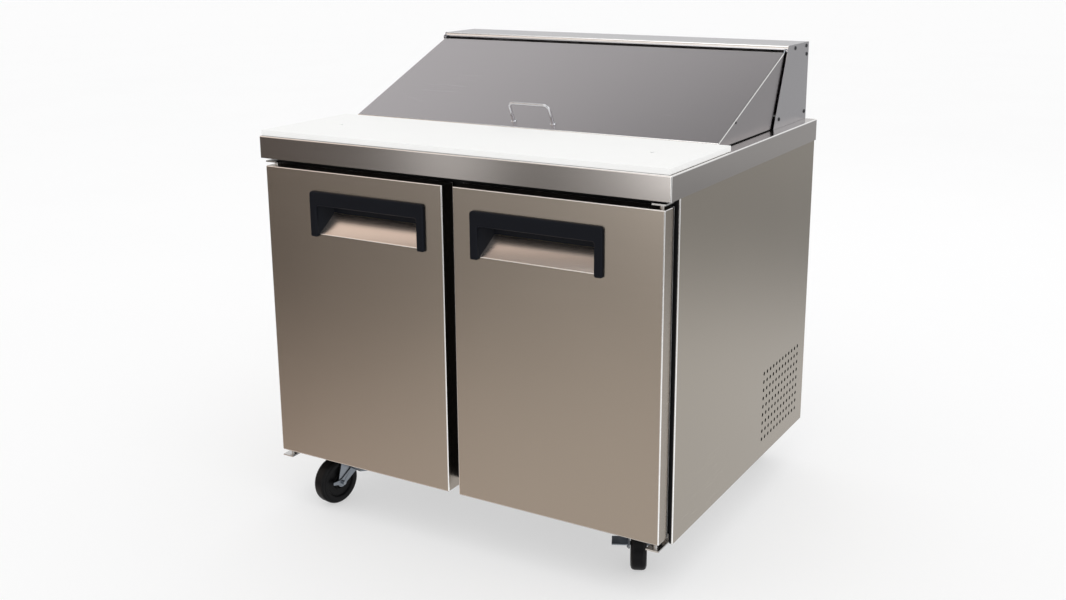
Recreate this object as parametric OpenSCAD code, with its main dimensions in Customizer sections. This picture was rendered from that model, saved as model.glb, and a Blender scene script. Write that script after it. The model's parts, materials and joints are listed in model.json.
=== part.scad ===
// Two-door refrigerated sandwich prep table on four casters.
// Origin: on the floor, under the middle of the footprint. +Y points to the rear, +X to the right-hand door.

/* [Overall] */
// Width of the worktop
top_w = 924; // [900:2:940]
// Depth of the worktop
top_d = 770; // [768:1:776]
// Height of the worktop above the floor
top_z = 807; // [805:1:812]
// Height of the hood's top above the worktop
hood_h = 168; // [166:1:172]
// Height of the folded edge round the worktop
edge_h = 46; // [44:1:48]
// Thickness of the visible sheet steel
sheet = 1.2; // [1.0:0.1:1.4]

/* [Doors] */
// Height of a door
door_h = 628; // [626:1:630]
// Thickness of a door without its gasket
door_t = 38; // [36:1:39]
// Gap between the two doors
door_gap = 24; // [22:1:28]
// Width of a door's handle frame
handle_w = 280; // [260:2:282]

/* [Lid and board] */
// Half-width of the lid
lid_half = 430; // [426:1:430]
// Thickness of the cutting board
board_t = 11.5; // [10:0.5:12]
// Depth of the cutting board
board_d = 273; // [265:1:274]

/* [Casters] */
// Radius of a caster wheel
wheel_r = 50.8; // [49:0.1:50.8]
// Width of a caster wheel's tread
wheel_w = 32; // [28:1:32]
// Distance from the swivel axis to the wheel axle
trail = 33; // [30:1:35]

/* [Vents] */
// Columns of holes in the side vent
vent_cols = 12; // [8:1:12]
// Rows of holes in the side vent
vent_rows = 9; // [6:1:9]
// Diameter of a vent hole
vent_d = 6.5; // [5:0.5:8]

/* [Hidden] */
$fn = 48;

// Colours
STEEL = "#a9a39b";
DARK_STEEL = "#8e8b89";
BLACK = "#15181b";
FOAM = "#e3d3a2";
LINER = "#c9ccce";
WHITE = "#f4f4f2";
ZINC = "#b7bcc2";
GREY = "#6f7378";

// Gap that keeps neighbouring plates of one fabrication apart
seam = 0.1;
// Radial clearance of a running fit
run = 0.06;

// The handle frames stand this far in front of the worktop's edge
proud = 5;
// Y of the worktop's front edge; every depth below is measured from it
front_y = -(top_d - proud) / 2;

half_w = top_w / 2;
body_half = half_w - 3.6;
body_y = 46;
body_bottom = 102.5;
edge_bottom = top_z - edge_h;
base_z = 127;

// Interior of the refrigerated box
wall = 45;
in_half = body_half - wall;
in_front = 92;
in_rear = top_d - 48;
in_floor = 166;
in_ceil = edge_bottom;
step_y = 456;
step_z = 375;
skin = 0.8;

// Face frame that the gaskets close on
frame_y = 50;
frame_d = 40;
frame_half = 452;
open_half = 415;
open_bottom = 150;
open_top = 715;
mullion_half = 40;

// Doors, drawn for the right-hand side and mirrored
door_in = door_gap / 2;
door_out = 450;
door_y = 2;
door_z = 118;
door_top = door_z + door_h;
door_back = door_y + door_t;
hinge_x = 436;
hinge_y = 20;
hinge_r = 4;
handle_in = door_in + 41;
handle_out = handle_in + handle_w;
handle_leg = 17;
handle_top = 705;
handle_foot = 611;
bar_bottom = 676;
recess_bottom = 615;
recess_top = 690;
recess_back = 32;

// Opening for the food pans
well_half = 356;
well_front = 297;
well_rear = 637;
ledge_z = 790;
pan_w = 176;
pan_l = 162;
pan_h = 97;
pan_rim = 12;
pan_sheet = 0.9;
pan_pitch = 177;

// Lid
hem_y = 281;
hem_top = top_z + board_t;
hem_bottom = top_z + 2.5;
lid_len = 376.6;
lid_slope = 22.39;
lid_axis_y = 637;
lid_axis_z = top_z + 157;
lid_pin_r = 2.4;
hood_half = lid_half + 5;
hood_front = 641;
hood_foot = 568;
hood_z = top_z + hood_h;
lip_h = 9;

// Casters: [x, y, heading of the fork, has a brake]
front_left = [-340, 83, -10];
front_right = [372, 83, 205];
rear_left = [-340, 683, 160];
rear_right = [350, 683, 170];
leg_in = 17.5;
leg_t = 3;
axle_r = 4;

// Box from its low corner to its high corner
module block(low, high) {
    translate(low) cube(high - low);
}

// Everything is drawn with y = 0 at the worktop's front edge, then moved to the part's own origin
module placed() {
    translate([0, front_y, 0]) children();
}

// Extrusion along X of an outline given as [y, z]
module side_profile(x_low, x_high) {
    translate([x_low, 0, 0])
        rotate([90, 0, 90]) linear_extrude(x_high - x_low) children();
}

// Rectangle with true round corners, centred
module round_rect(w, d, r) {
    union() {
        square([w - 2 * r, d], center = true);
        square([w, d - 2 * r], center = true);
        for (x = [-1, 1], y = [-1, 1])
            translate([x * (w / 2 - r), y * (d / 2 - r)]) circle(r);
    }
}

// Point on the lid's outer face: t along the slope from the hem, depth below the face
function lid_point(t, depth) = [
    hem_y + t * cos(lid_slope) + depth * sin(lid_slope),
    hem_top + t * sin(lid_slope) - depth * cos(lid_slope)
];

// ---------------------------------------------------------------- cabinet shell

module side_skin() {
    block([body_half - sheet, body_y, body_bottom], [body_half, top_d - 1.4, top_z - 3]);
    block([body_half - 7, body_y, body_bottom], [body_half - sheet - seam, body_y + sheet, edge_bottom - 1]);
    block([body_half - 14, body_y + sheet + seam, body_bottom],
          [body_half - sheet - seam, top_d - 4, body_bottom + sheet]);
}

module vent_holes() {
    pitch_y = 19.35;
    pitch_z = 18.7;
    for (i = [0 : vent_cols - 1], j = [0 : vent_rows - 1])
        translate([body_half - 3, 508 + i * pitch_y, 145 + j * pitch_z])
            rotate([0, 90, 0]) cylinder(d = vent_d, h = 6);
}

module side_panel_left() {
    color(STEEL) placed() mirror([1, 0, 0]) side_skin();
}

module side_panel_right() {
    color(STEEL) placed() difference() {
        side_skin();
        vent_holes();
    }
}

module back_panel() {
    color(DARK_STEEL) placed()
        block([-in_half - 43, top_d - 2.6, 338], [in_half + 43, top_d - 1.4, top_z - 3]);
}

module rear_grille() {
    color(DARK_STEEL) placed() difference() {
        block([-in_half - 43, top_d - 2.6, base_z + 2], [in_half + 43, top_d - 1.4, 336]);
        for (col = [-1, 0, 1], row = [0 : 9])
            translate([col * 290 - 120, top_d - 5, 160 + row * 16]) cube([240, 6, 7]);
    }
}

module base_pan() {
    color(DARK_STEEL) placed()
        block([-body_half + 2, frame_y + frame_d + seam, base_z], [body_half - 2, top_d - 3, base_z + 1.5]);
}

module foam_walls() {
    low = base_z + 3;
    color(FOAM) placed() {
        for (s = [0, 1]) mirror([s, 0, 0]) {
            block([in_half + 1.5, 93, low], [body_half - 2, step_y - 1, top_z - 3]);
            block([in_half + 1.5, step_y, step_z], [body_half - 2, top_d - 4, top_z - 3]);
        }
        block([-in_half, 93, low], [in_half, step_y + 35, in_floor - 2]);
        block([-in_half, step_y + 1.5, in_floor], [in_half, step_y + 35, step_z - 40]);
        block([-in_half, step_y + 1.5, step_z - 38], [in_half, top_d - 4, step_z - 1]);
        block([-in_half, in_rear + 1.5, step_z], [in_half, top_d - 4, top_z - 3]);
        block([-in_half, 93, in_ceil + 1.5], [in_half, well_front - 16, top_z - 3]);
    }
}

module liner() {
    color(LINER) placed() {
        block([-in_half, in_front, in_floor - skin], [in_half, step_y - seam, in_floor]);
        block([-in_half, step_y, in_floor], [in_half, step_y + skin, step_z - skin - seam]);
        block([-in_half, step_y, step_z - skin], [in_half, in_rear - seam, step_z]);
        block([-in_half, in_rear, step_z], [in_half, in_rear + skin, in_ceil - seam]);
        for (s = [0, 1]) mirror([s, 0, 0]) {
            block([in_half + seam, in_front, in_floor - skin], [in_half + 1, step_y - seam, in_ceil]);
            block([in_half + seam, step_y, step_z - skin], [in_half + 1, in_rear + skin, in_ceil]);
            block([well_half + 14, well_front - 14, in_ceil], [in_half, well_rear + 14, in_ceil + skin]);
        }
        block([-in_half, in_front, in_ceil], [in_half, well_front - 14 - seam, in_ceil + skin]);
        block([-in_half, well_rear + 14 + seam, in_ceil], [in_half, in_rear, in_ceil + skin]);
    }
}

module face_frame() {
    color(BLACK) placed() {
        for (s = [0, 1]) mirror([s, 0, 0])
            block([open_half, frame_y, body_bottom + sheet + seam],
                  [frame_half, frame_y + frame_d, top_z - 3]);
        block([-open_half + seam, frame_y, open_top], [open_half - seam, frame_y + frame_d, top_z - 3]);
        block([-open_half + seam, frame_y, base_z + 2], [open_half - seam, frame_y + frame_d, open_bottom]);
    }
}

module center_mullion() {
    color(BLACK) placed()
        block([-mullion_half, frame_y, open_bottom + seam], [mullion_half, frame_y + frame_d, open_top - seam]);
}

// ---------------------------------------------------------------- worktop and pans

board_pin_x = 359;
board_pin_r = 4;

module worktop() {
    color(STEEL) placed() {
        low = top_z - sheet;
        block([-half_w, 0, low], [half_w, well_front - seam, top_z]);
        block([-half_w, well_rear + seam, low], [half_w, top_d, top_z]);
        for (s = [0, 1]) mirror([s, 0, 0]) {
            block([well_half, well_front, low], [half_w, well_rear, top_z]);
            block([half_w - sheet, sheet + seam, edge_bottom],
                  [half_w, top_d - sheet - seam, low - seam]);
            translate([board_pin_x, 139, top_z + seam]) cylinder(r = board_pin_r, h = board_t - 1);
        }
        block([-half_w, 0, edge_bottom], [half_w, sheet, low - seam]);
        block([-half_w, top_d - sheet, edge_bottom], [half_w, top_d, low - seam]);
    }
}

module rail_well() {
    high = top_z - sheet - seam;
    color(LINER) placed() {
        for (s = [0, 1]) mirror([s, 0, 0]) {
            block([well_half, well_front - 12, edge_bottom + 1], [well_half + 12, well_rear + 12, high]);
            block([well_half - 10, well_front + seam, ledge_z - 6],
                  [well_half - seam, well_rear - seam, ledge_z]);
        }
        block([-well_half + seam, well_front - 12, edge_bottom + 1], [well_half - seam, well_front, high]);
        block([-well_half + seam, well_rear, edge_bottom + 1], [well_half - seam, well_rear + 12, high]);
        block([-well_half + 10 + seam, well_front + seam, ledge_z - 6],
              [well_half - 10 - seam, well_front + 10, ledge_z]);
        block([-well_half + 10 + seam, well_rear - 10, ledge_z - 6],
              [well_half - 10 - seam, well_rear - seam, ledge_z]);
    }
}

module pan_divider_bar() {
    color(STEEL) placed()
        block([-well_half + 10 + seam, 457, ledge_z - 6], [well_half - 10 - seam, 477, ledge_z]);
}

module food_pan() {
    difference() {
        union() {
            translate([0, 0, pan_h]) linear_extrude(2.5) round_rect(pan_w, pan_l, 14);
            linear_extrude(pan_h) round_rect(pan_w - 2 * pan_rim, pan_l - 2 * pan_rim, 18);
        }
        translate([0, 0, pan_sheet]) linear_extrude(pan_h + 5)
            round_rect(pan_w - 2 * (pan_rim + pan_sheet), pan_l - 2 * (pan_rim + pan_sheet), 17);
    }
}

module pan_row(y_mid) {
    for (i = [0 : 3])
        translate([(i - 1.5) * pan_pitch, y_mid, ledge_z + 0.1 - pan_h]) food_pan();
}

module food_pans_front() {
    color(STEEL) placed() pan_row(381);
}

module food_pans_rear() {
    color(STEEL) placed() pan_row(553.5);
}

module cutting_board() {
    color(WHITE) placed() difference() {
        block([-half_w + 4.5, 2.5, top_z + 0.2], [half_w - 4.5, 2.5 + board_d, top_z + 0.2 + board_t]);
        for (x = [-board_pin_x, board_pin_x])
            translate([x, 139, top_z - 1]) cylinder(r = board_pin_r + run, h = board_t + 4);
    }
}

// ---------------------------------------------------------------- hood

module hood_cover() {
    edge = hood_half - sheet - seam;
    color(STEEL) placed() {
        block([-edge, hood_front, hood_z - sheet], [edge, top_d, hood_z]);
        block([-edge, hood_front, hood_z - lip_h], [edge, hood_front + sheet, hood_z - sheet - seam]);
        block([-edge, top_d - sheet, top_z + 0.2], [edge, top_d, hood_z - sheet - seam]);
        for (s = [0, 1]) mirror([s, 0, 0]) {
            block([edge - sheet, 655, hood_z - 15], [edge, top_d - sheet - seam, hood_z - sheet - seam]);
            block([edge - sheet, top_d - 16, top_z + 0.2], [edge, top_d - sheet - seam, hood_z - 15 - seam]);
        }
    }
}

module hood_end() {
    inner = hood_half - sheet;
    side_profile(inner, hood_half) union() {
        polygon([[hood_foot, top_z + 0.2], [hood_front - 0.5, hood_z], [top_d, hood_z], [top_d, top_z + 0.2]]);
        translate([lid_axis_y, lid_axis_z]) circle(5);
    }
    // Stub pin that the lid turns on
    translate([lid_half - 1.6, lid_axis_y, lid_axis_z]) rotate([0, 90, 0])
        cylinder(r = lid_pin_r, h = inner - lid_half + 2.2);
}

module hood_end_left() {
    color(STEEL) placed() mirror([1, 0, 0]) hood_end();
}

module hood_end_right() {
    color(STEEL) placed() hood_end();
}

module hood_screws() {
    spots = [[682, hood_z - 8], [754, hood_z - 8], [758, hood_z - 26], [758, top_z + 17], [597, top_z + 19]];
    color(ZINC) placed()
        for (s = [0, 1], p = spots) mirror([s, 0, 0])
            translate([hood_half, p[0], p[1]]) rotate([0, 90, 0]) {
                cylinder(r1 = 4.2, r2 = 2.6, h = 2.2);
            }
}

// ---------------------------------------------------------------- door hinges

// Plate, upturned flange and pin; the pin runs from pin_low to pin_high
module hinge_bracket(plate_z, pin_low, pin_high) {
    block([hinge_x - 12, 3, plate_z], [door_out, frame_y - 0.5, plate_z + 3]);
    block([hinge_x + 1, frame_y - 3.5, plate_z], [door_out, frame_y - 0.5, plate_z + 21]);
    translate([hinge_x, hinge_y, pin_low]) cylinder(r = hinge_r, h = pin_high - pin_low);
}

module hinge_brackets() {
    color(ZINC) placed()
        for (s = [0, 1]) mirror([s, 0, 0]) {
            hinge_bracket(door_z - 14, door_z - 13, door_z + 12);
            hinge_bracket(door_top + 7, door_top - 12, door_top + 9);
        }
}

// ---------------------------------------------------------------- doors, right hand

module hinge_bores(r) {
    for (z = [door_z - 1, door_top - 14])
        translate([hinge_x, hinge_y, z]) cylinder(r = r, h = 15);
}

module door_skin() {
    side = door_back - 1.6;
    left = handle_in + 5;
    right = handle_out - 5;
    face_back = door_y + sheet;
    top_cut = handle_top - 5;
    // Face, in four strips round the opening for the handle
    block([door_in, door_y, door_z], [left - seam, face_back, door_top]);
    block([right + seam, door_y, door_z], [door_out, face_back, door_top]);
    block([left, door_y, door_z], [right, face_back, recess_bottom]);
    block([left, door_y, top_cut], [right, face_back, door_top]);
    // Folded edges
    difference() {
        union() {
            block([door_in, face_back + seam, door_z], [door_in + sheet, side, door_top]);
            block([door_out - sheet, face_back + seam, door_z], [door_out, side, door_top]);
            block([door_in + sheet + seam, face_back + seam, door_z],
                  [door_out - sheet - seam, side, door_z + sheet]);
            block([door_in + sheet + seam, face_back + seam, door_top - sheet],
                  [door_out - sheet - seam, side, door_top]);
        }
        hinge_bores(hinge_r + run);
    }
}

module door_liner() {
    block([door_in, door_back - 1.5, door_z], [door_out, door_back, door_top]);
}

module door_foam() {
    difference() {
        block([door_in + 1.5, door_y + 1.5, door_z + 1.5], [door_out - 1.5, door_back - 1.7, door_top - 1.5]);
        block([handle_in + 4, door_y, handle_foot], [handle_out - 4, recess_back + 3, handle_top - 4]);
        hinge_bores(hinge_r + 1);
    }
}

module door_gasket() {
    low = door_back + 0.1;
    high = frame_y - 0.3;
    bar = 14;
    x_in = door_in + 10;
    z_low = door_z + 10;
    z_high = door_top - 10;
    block([x_in, low, z_low], [x_in + bar, high, z_high]);
    block([hinge_x - bar, low, z_low], [hinge_x, high, z_high]);
    block([x_in + bar + seam, low, z_low], [hinge_x - bar - seam, high, z_low + bar]);
    block([x_in + bar + seam, low, z_high - bar], [hinge_x - bar - seam, high, z_high]);
}

// Sloping cheeks at both ends of the hand recess, grown by a clearance
module cheeks(grow) {
    narrow = 16;
    for (side = [0, 1])
        translate([side * (handle_in + handle_out), 0, recess_bottom + 0.2 - grow])
            mirror([side, 0, 0])
                linear_extrude(recess_top - recess_bottom + grow)
                    polygon([[handle_in + 5.2, door_y - 0.1],
                             [handle_in + handle_leg + grow, door_y - 0.1],
                             [handle_in + handle_leg + narrow + grow, recess_back],
                             [handle_in + 5.2, recess_back]]);
}

module handle_frame() {
    inner = handle_in + 5.2;
    outer = handle_out - 5.2;
    difference() {
        block([handle_in, -proud, handle_foot], [handle_out, door_y - 0.1, handle_top]);
        block([handle_in + handle_leg, -proud - 1, handle_foot - 1],
              [handle_out - handle_leg, door_y, bar_bottom]);
    }
    cheeks(0);
    block([inner, door_y - 0.1, recess_top], [outer, recess_back + 2, recess_top + 2]);
    block([inner, recess_back, recess_bottom + 42], [outer, recess_back + 2, recess_top + 2]);
}

module handle_scoop() {
    top = recess_bottom + 41;
    difference() {
        side_profile(handle_in + handle_leg + 0.1, handle_out - handle_leg - 0.1)
            polygon([[door_y, recess_bottom + 0.2], [door_y + 1.5, recess_bottom + 0.2],
                     [recess_back - 0.2, top - 1.4], [recess_back - 0.2, top],
                     [door_y, recess_bottom + 1.6]]);
        cheeks(0.1);
    }
}

module on_left() {
    placed() mirror([1, 0, 0]) children();
}

module left_door_skin() { color(STEEL) on_left() door_skin(); }
module left_door_liner() { color(LINER) on_left() door_liner(); }
module left_door_foam() { color(FOAM) on_left() door_foam(); }
module left_door_gasket() { color(BLACK) on_left() door_gasket(); }
module left_handle_frame() { color(BLACK) on_left() handle_frame(); }
module left_handle_scoop() { color(STEEL) on_left() handle_scoop(); }
module right_door_skin() { color(STEEL) placed() door_skin(); }
module right_door_liner() { color(LINER) placed() door_liner(); }
module right_door_foam() { color(FOAM) placed() door_foam(); }
module right_door_gasket() { color(BLACK) placed() door_gasket(); }
module right_handle_frame() { color(BLACK) placed() handle_frame(); }
module right_handle_scoop() { color(STEEL) placed() handle_scoop(); }

// ---------------------------------------------------------------- lid

// Slab parallel to the lid's face, between two distances along the slope and two depths
module lid_slab(t_low, t_high, depth_low, depth_high, half) {
    side_profile(-half, half)
        polygon([lid_point(t_low, depth_low), lid_point(t_high, depth_low),
                 lid_point(t_high, depth_high), lid_point(t_low, depth_high)]);
}

module lid_cover() {
    half = lid_half - sheet - 0.2;
    color(STEEL) placed() {
        lid_slab(0.6, lid_len, 0, sheet, half);
        lid_slab(lid_len - sheet, lid_len, sheet + seam, 12, half);
        block([-half, hem_y, hem_bottom], [half, hem_y + sheet, hem_top - 1]);
    }
}

module lid_end() {
    tip = lid_point(lid_len, 0);
    difference() {
        // The arm runs back to an eye on the pin, low enough to pass the hood's lip
        side_profile(lid_half - sheet, lid_half) union() {
            polygon([[hem_y, hem_bottom], [hem_y, hem_top], tip, [lid_axis_y - 2.9, lid_axis_z + 1.6],
                     [lid_axis_y, lid_axis_z - 3.3], [tip[0] + 3, tip[1] - 7], [560.5, hem_bottom]]);
            translate([lid_axis_y, lid_axis_z]) circle(4.1);
        }
        translate([lid_half - 5, lid_axis_y, lid_axis_z]) rotate([0, 90, 0])
            cylinder(r = lid_pin_r + run, h = 10);
    }
}

module lid_end_left() {
    color(STEEL) placed() mirror([1, 0, 0]) lid_end();
}

module lid_end_right() {
    color(STEEL) placed() lid_end();
}

module lid_liner() {
    color(LINER) placed() {
        lid_slab(24, 345, 14, 15, 420);
        lid_slab(24, 25, sheet + 0.2, 14 - seam, 420);
        lid_slab(344, 345, sheet + 0.2, 14 - seam, 420);
    }
}

module lid_handle() {
    rod = 3.2;
    half = 47;
    reach = 45;
    mid = 12;
    foot = lid_point(24, 0);
    color(ZINC) placed()
        translate([mid, foot[0], foot[1]]) rotate([lid_slope + 5, 0, 0]) {
            for (x = [-half, half]) {
                translate([x, 0, 0.6]) cylinder(r = rod, h = reach - 0.6);
                translate([x, 0, reach]) sphere(rod);
                translate([x, 0, 0.6]) cylinder(r = 6, h = 1.6);
            }
            translate([-half, 0, reach]) rotate([0, 90, 0]) cylinder(r = rod, h = 2 * half);
        }
}

module lid_gasket() {
    color(BLACK) placed() {
        lid_slab(lid_len + 0.2, lid_len + 5, 2, 10, 424);
        for (s = [0, 1]) mirror([s, 0, 0]) {
            block([lid_half - 5, hem_y + 2, top_z + 0.3], [lid_half - 0.3, 559, hem_bottom - 0.1]);
            side_profile(lid_half - 5, lid_half - sheet - 0.2)
                polygon([[560, hem_bottom + 0.2], [566, hem_bottom + 0.2], [632, 948], [626, 948]]);
        }
    }
}

// ---------------------------------------------------------------- shelves

shelf_z = 440;
post_front = 140;
post_rear = 580;

module wire_shelf() {
    x_low = 24;
    x_high = in_half - 12;
    y_low = 102;
    y_high = 626;
    wires = 15;
    step = (x_high - x_low) / (wires - 1);
    for (y = [y_low, 277, 452, y_high])
        translate([x_low, y, shelf_z]) rotate([0, 90, 0]) cylinder(r = 3, h = x_high - x_low);
    for (i = [0 : wires - 1])
        translate([x_low + i * step, y_low - 3, shelf_z + 3.5]) rotate([-90, 0, 0])
            cylinder(r = 1.8, h = y_high - y_low + 6);
}

module wire_shelf_left() {
    color(ZINC) on_left() wire_shelf();
}

module wire_shelf_right() {
    color(ZINC) placed() wire_shelf();
}

// Slotted upright from z_low to z_high
module upright(low, high, slot_x) {
    difference() {
        block(low, high);
        for (z = [low[2] + 24 : 32 : high[2] - 20])
            translate([slot_x, low[1] + 5, z]) cube([2.5, 6, 14]);
    }
}

module shelf_supports() {
    color(ZINC) placed() {
        for (s = [0, 1]) mirror([s, 0, 0]) {
            upright([in_half - 6, post_front - 8, in_floor + 0.1], [in_half - 0.1, post_front + 8, 680], in_half - 7);
            upright([in_half - 6, post_rear - 8, step_z + 0.1], [in_half - 0.1, post_rear + 8, 680], in_half - 7);
            for (y = [post_front, post_rear]) {
                block([in_half - 18, y - 7, shelf_z - 6], [in_half - 6.1, y + 7, shelf_z - 3.2]);
                block([8.1, y - 7, shelf_z - 6], [30, y + 7, shelf_z - 3.2]);
            }
        }
        block([-8, post_front - 8, in_floor + 0.1], [8, post_front + 8, 680]);
        block([-8, post_rear - 8, step_z + 0.1], [8, post_rear + 8, 680]);
    }
}

// ---------------------------------------------------------------- refrigeration

evap_z = 535;
evap_fan_y = 652;
fan_r = 62;

// Fan about the Z axis, with its hub's low face at z = 0
module fan(radius, blades) {
    difference() {
        union() {
            cylinder(r = 16, h = 14);
            for (i = [0 : blades - 1]) rotate([0, 0, i * 360 / blades])
                translate([radius / 2 + 6, 0, 7]) rotate([28, 0, 0])
                    cube([radius - 14, 26, 1.2], center = true);
        }
        translate([0, 0, -1]) cylinder(r = 3 + run, h = 20);
    }
}

module evaporator_housing() {
    color(LINER) placed() {
        difference() {
            block([-250, 640, 440], [250, 641.2, 630]);
            translate([0, 630, evap_z]) rotate([-90, 0, 0]) cylinder(r = fan_r + 6, h = 20);
        }
        block([-250, 641.3, 440], [250, in_rear - 0.2, 441.2]);
        block([-250, 641.3, 628.8], [250, in_rear - 0.2, 630]);
        for (s = [0, 1]) mirror([s, 0, 0])
            block([248.8, 641.3, 441.3], [250, in_rear - 0.2, 628.7]);
        // Fan motor and its shaft
        translate([0, evap_fan_y + 15, evap_z]) rotate([-90, 0, 0]) cylinder(r = 24, h = 14);
        translate([0, evap_fan_y - 2, evap_z]) rotate([-90, 0, 0]) cylinder(r = 3, h = 18);
    }
}

module evaporator_coil() {
    color(GREY) placed() {
        block([-230, 684, 446], [230, 716, 624]);
        for (z = [460 : 24 : 604])
            translate([230, 700, z]) rotate([0, 90, 0]) cylinder(r = 5, h = 14);
    }
}

module evaporator_fan() {
    color(BLACK) placed()
        translate([0, evap_fan_y, evap_z]) rotate([-90, 0, 0]) fan(fan_r, 5);
}

fan_y = 618;
fan_z = 226;
fan_x = 352;

module condenser_coil() {
    color(GREY) placed() {
        block([390, 512, 144], [424, 726, 308]);
        for (z = [158 : 22 : 290])
            translate([407, 500, z]) rotate([-90, 0, 0]) cylinder(r = 5, h = 12.5);
    }
}

module condenser_shroud() {
    color(DARK_STEEL) placed() {
        difference() {
            block([376, 512, 144], [377.5, 726, 308]);
            translate([370, fan_y, fan_z]) rotate([0, 90, 0]) cylinder(r = fan_r + 8, h = 20);
        }
        for (y = [512, 724.5]) block([377.6, y, 144], [389.8, y + 1.5, 308]);
        for (z = [144, 306.5]) block([377.6, 513.6, z], [389.8, 724.4, z + 1.5]);
        // Motor on its pedestal, and its shaft
        translate([300, fan_y, fan_z]) rotate([0, 90, 0]) cylinder(r = 30, h = 46);
        block([310, fan_y - 20, base_z + 1.6], [336, fan_y + 20, fan_z - 26]);
        translate([345, fan_y, fan_z]) rotate([0, 90, 0]) cylinder(r = 3, h = 20);
    }
}

module condenser_fan() {
    color(BLACK) placed()
        translate([fan_x, fan_y, fan_z]) rotate([0, 90, 0]) fan(fan_r, 5);
}

module compressor() {
    can_r = 72;
    color(BLACK) placed() translate([-90, 632, 0]) {
        intersection() {
            translate([0, 0, base_z + 20]) cylinder(r = can_r, h = 160);
            translate([0, 0, base_z + 100]) sphere(104);
        }
        block([-96, -62, base_z + 14], [96, 62, base_z + 18.9]);
        translate([0, 0, base_z + 18]) cylinder(r = 60, h = 16);
        for (x = [-80, 80], y = [-48, 48])
            translate([x, y, base_z + 1.7]) cylinder(r = 11, h = 12.2);
        block([68, -28, base_z + 50], [96, 28, base_z + 120]);
    }
}

module control_box() {
    color(GREY) placed() {
        block([-420, 540, base_z + 1.7], [-300, 755, 286]);
        translate([-360, 755, 230]) rotate([-90, 0, 0]) cylinder(r = 16, h = 10);
    }
}

// ---------------------------------------------------------------- casters

// Puts a caster's own frame, with its swivel axis at the origin, in the part
module at_caster(c) {
    placed() translate([c[0], c[1], 0]) rotate([0, 0, c[2]]) children();
}

king_r = 6;
plate_t = 3;
plate_x = 40;
plate_y = 32;

module caster_plate() {
    difference() {
        union() {
            block([-plate_x, -plate_y, base_z - plate_t], [plate_x, plate_y, base_z - 0.1]);
            translate([0, 0, base_z - plate_t - 4]) cylinder(r = 26, h = 5);
            for (x = [8 - plate_x, plate_x - 8], y = [8 - plate_y, plate_y - 8])
                translate([x, y, base_z - plate_t - 4]) cylinder(r = 6.5, h = 5, $fn = 6);
        }
        translate([0, 0, base_z - 20]) cylinder(r = king_r + run, h = 30);
    }
}

module caster_plates() {
    color(ZINC)
        for (c = [front_left, front_right, rear_left, rear_right])
            placed() translate([c[0], c[1], 0]) caster_plate();
}

module caster_fork() {
    crown = 106;
    difference() {
        union() {
            side_profile(leg_in, leg_in + leg_t) fork_side(crown);
            side_profile(-leg_in - leg_t, -leg_in) fork_side(crown);
            block([-leg_in - leg_t, -28, crown], [leg_in + leg_t, 22, crown + 4]);
            translate([0, 0, crown + 3]) cylinder(r = 24, h = 10);
            translate([0, 0, crown + 3]) cylinder(r = king_r, h = base_z - crown - 4);
        }
        translate([0, 0, crown - 4]) cylinder(r = 3, h = 8);
    }
    // Axle with its nut and head
    translate([-leg_in - leg_t - 4, -trail, wheel_r]) rotate([0, 90, 0])
        cylinder(r = axle_r, h = 2 * (leg_in + leg_t + 4) + 5);
    translate([-leg_in - leg_t - 4.5, -trail, wheel_r]) rotate([0, 90, 0])
        cylinder(r = 7, h = 4.6, $fn = 6);
}

module fork_side(crown) {
    union() {
        polygon([[22, crown + 4], [-28, crown + 4], [-trail - 11, wheel_r], [-trail + 11, wheel_r],
                 [10, crown - 16]]);
        translate([-trail, wheel_r]) circle(11);
    }
}

module caster_wheel() {
    rim = 5;
    translate([0, -trail, wheel_r]) rotate([0, 90, 0]) difference() {
        rotate_extrude() union() {
            translate([0, -wheel_w / 2 + rim]) square([wheel_r, wheel_w - 2 * rim]);
            translate([0, -wheel_w / 2]) square([wheel_r - rim, wheel_w]);
            for (y = [-1, 1]) translate([wheel_r - rim, y * (wheel_w / 2 - rim)]) circle(rim);
        }
        for (y = [-1, 1]) translate([0, 0, y * (wheel_w / 2)]) difference() {
            cylinder(r = 34, h = 8, center = true);
            cylinder(r = 15, h = 9, center = true);
        }
        cylinder(r = axle_r + run, h = wheel_w + 2, center = true);
    }
}

module caster_brake() {
    face = leg_in + leg_t + 0.3;
    arm = 2.6;
    pedal_y = 4;
    difference() {
        union() {
            side_profile(face, face + arm) union() {
                translate([-trail, wheel_r]) circle(9);
                polygon([[-trail - 4, wheel_r + 7], [pedal_y - 12, 78], [pedal_y + 10, 72],
                         [-trail + 8, wheel_r - 4]]);
                polygon([[-trail - 26, wheel_r + 1], [-trail - 26, wheel_r + 7], [-trail, wheel_r + 7],
                         [-trail, wheel_r - 6]]);
            }
            translate([face, 0, 0])
                side_profile(0, 31)
                    polygon([[pedal_y - 12, 75.5], [pedal_y - 12, 78], [pedal_y + 10, 72], [pedal_y + 10, 69.5]]);
        }
        translate([face - 1, -trail, wheel_r]) rotate([0, 90, 0]) cylinder(r = axle_r + run, h = 10);
    }
}

module front_left_fork() { color(ZINC) at_caster(front_left) caster_fork(); }
module front_left_wheel() { color(BLACK) at_caster(front_left) caster_wheel(); }
module front_left_brake() { color(ZINC) at_caster(front_left) caster_brake(); }
module front_right_fork() { color(ZINC) at_caster(front_right) caster_fork(); }
module front_right_wheel() { color(BLACK) at_caster(front_right) caster_wheel(); }
module front_right_brake() { color(ZINC) at_caster(front_right) caster_brake(); }
module rear_left_fork() { color(ZINC) at_caster(rear_left) caster_fork(); }
module rear_left_wheel() { color(BLACK) at_caster(rear_left) caster_wheel(); }
module rear_right_fork() { color(ZINC) at_caster(rear_right) caster_fork(); }
module rear_right_wheel() { color(BLACK) at_caster(rear_right) caster_wheel(); }

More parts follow.
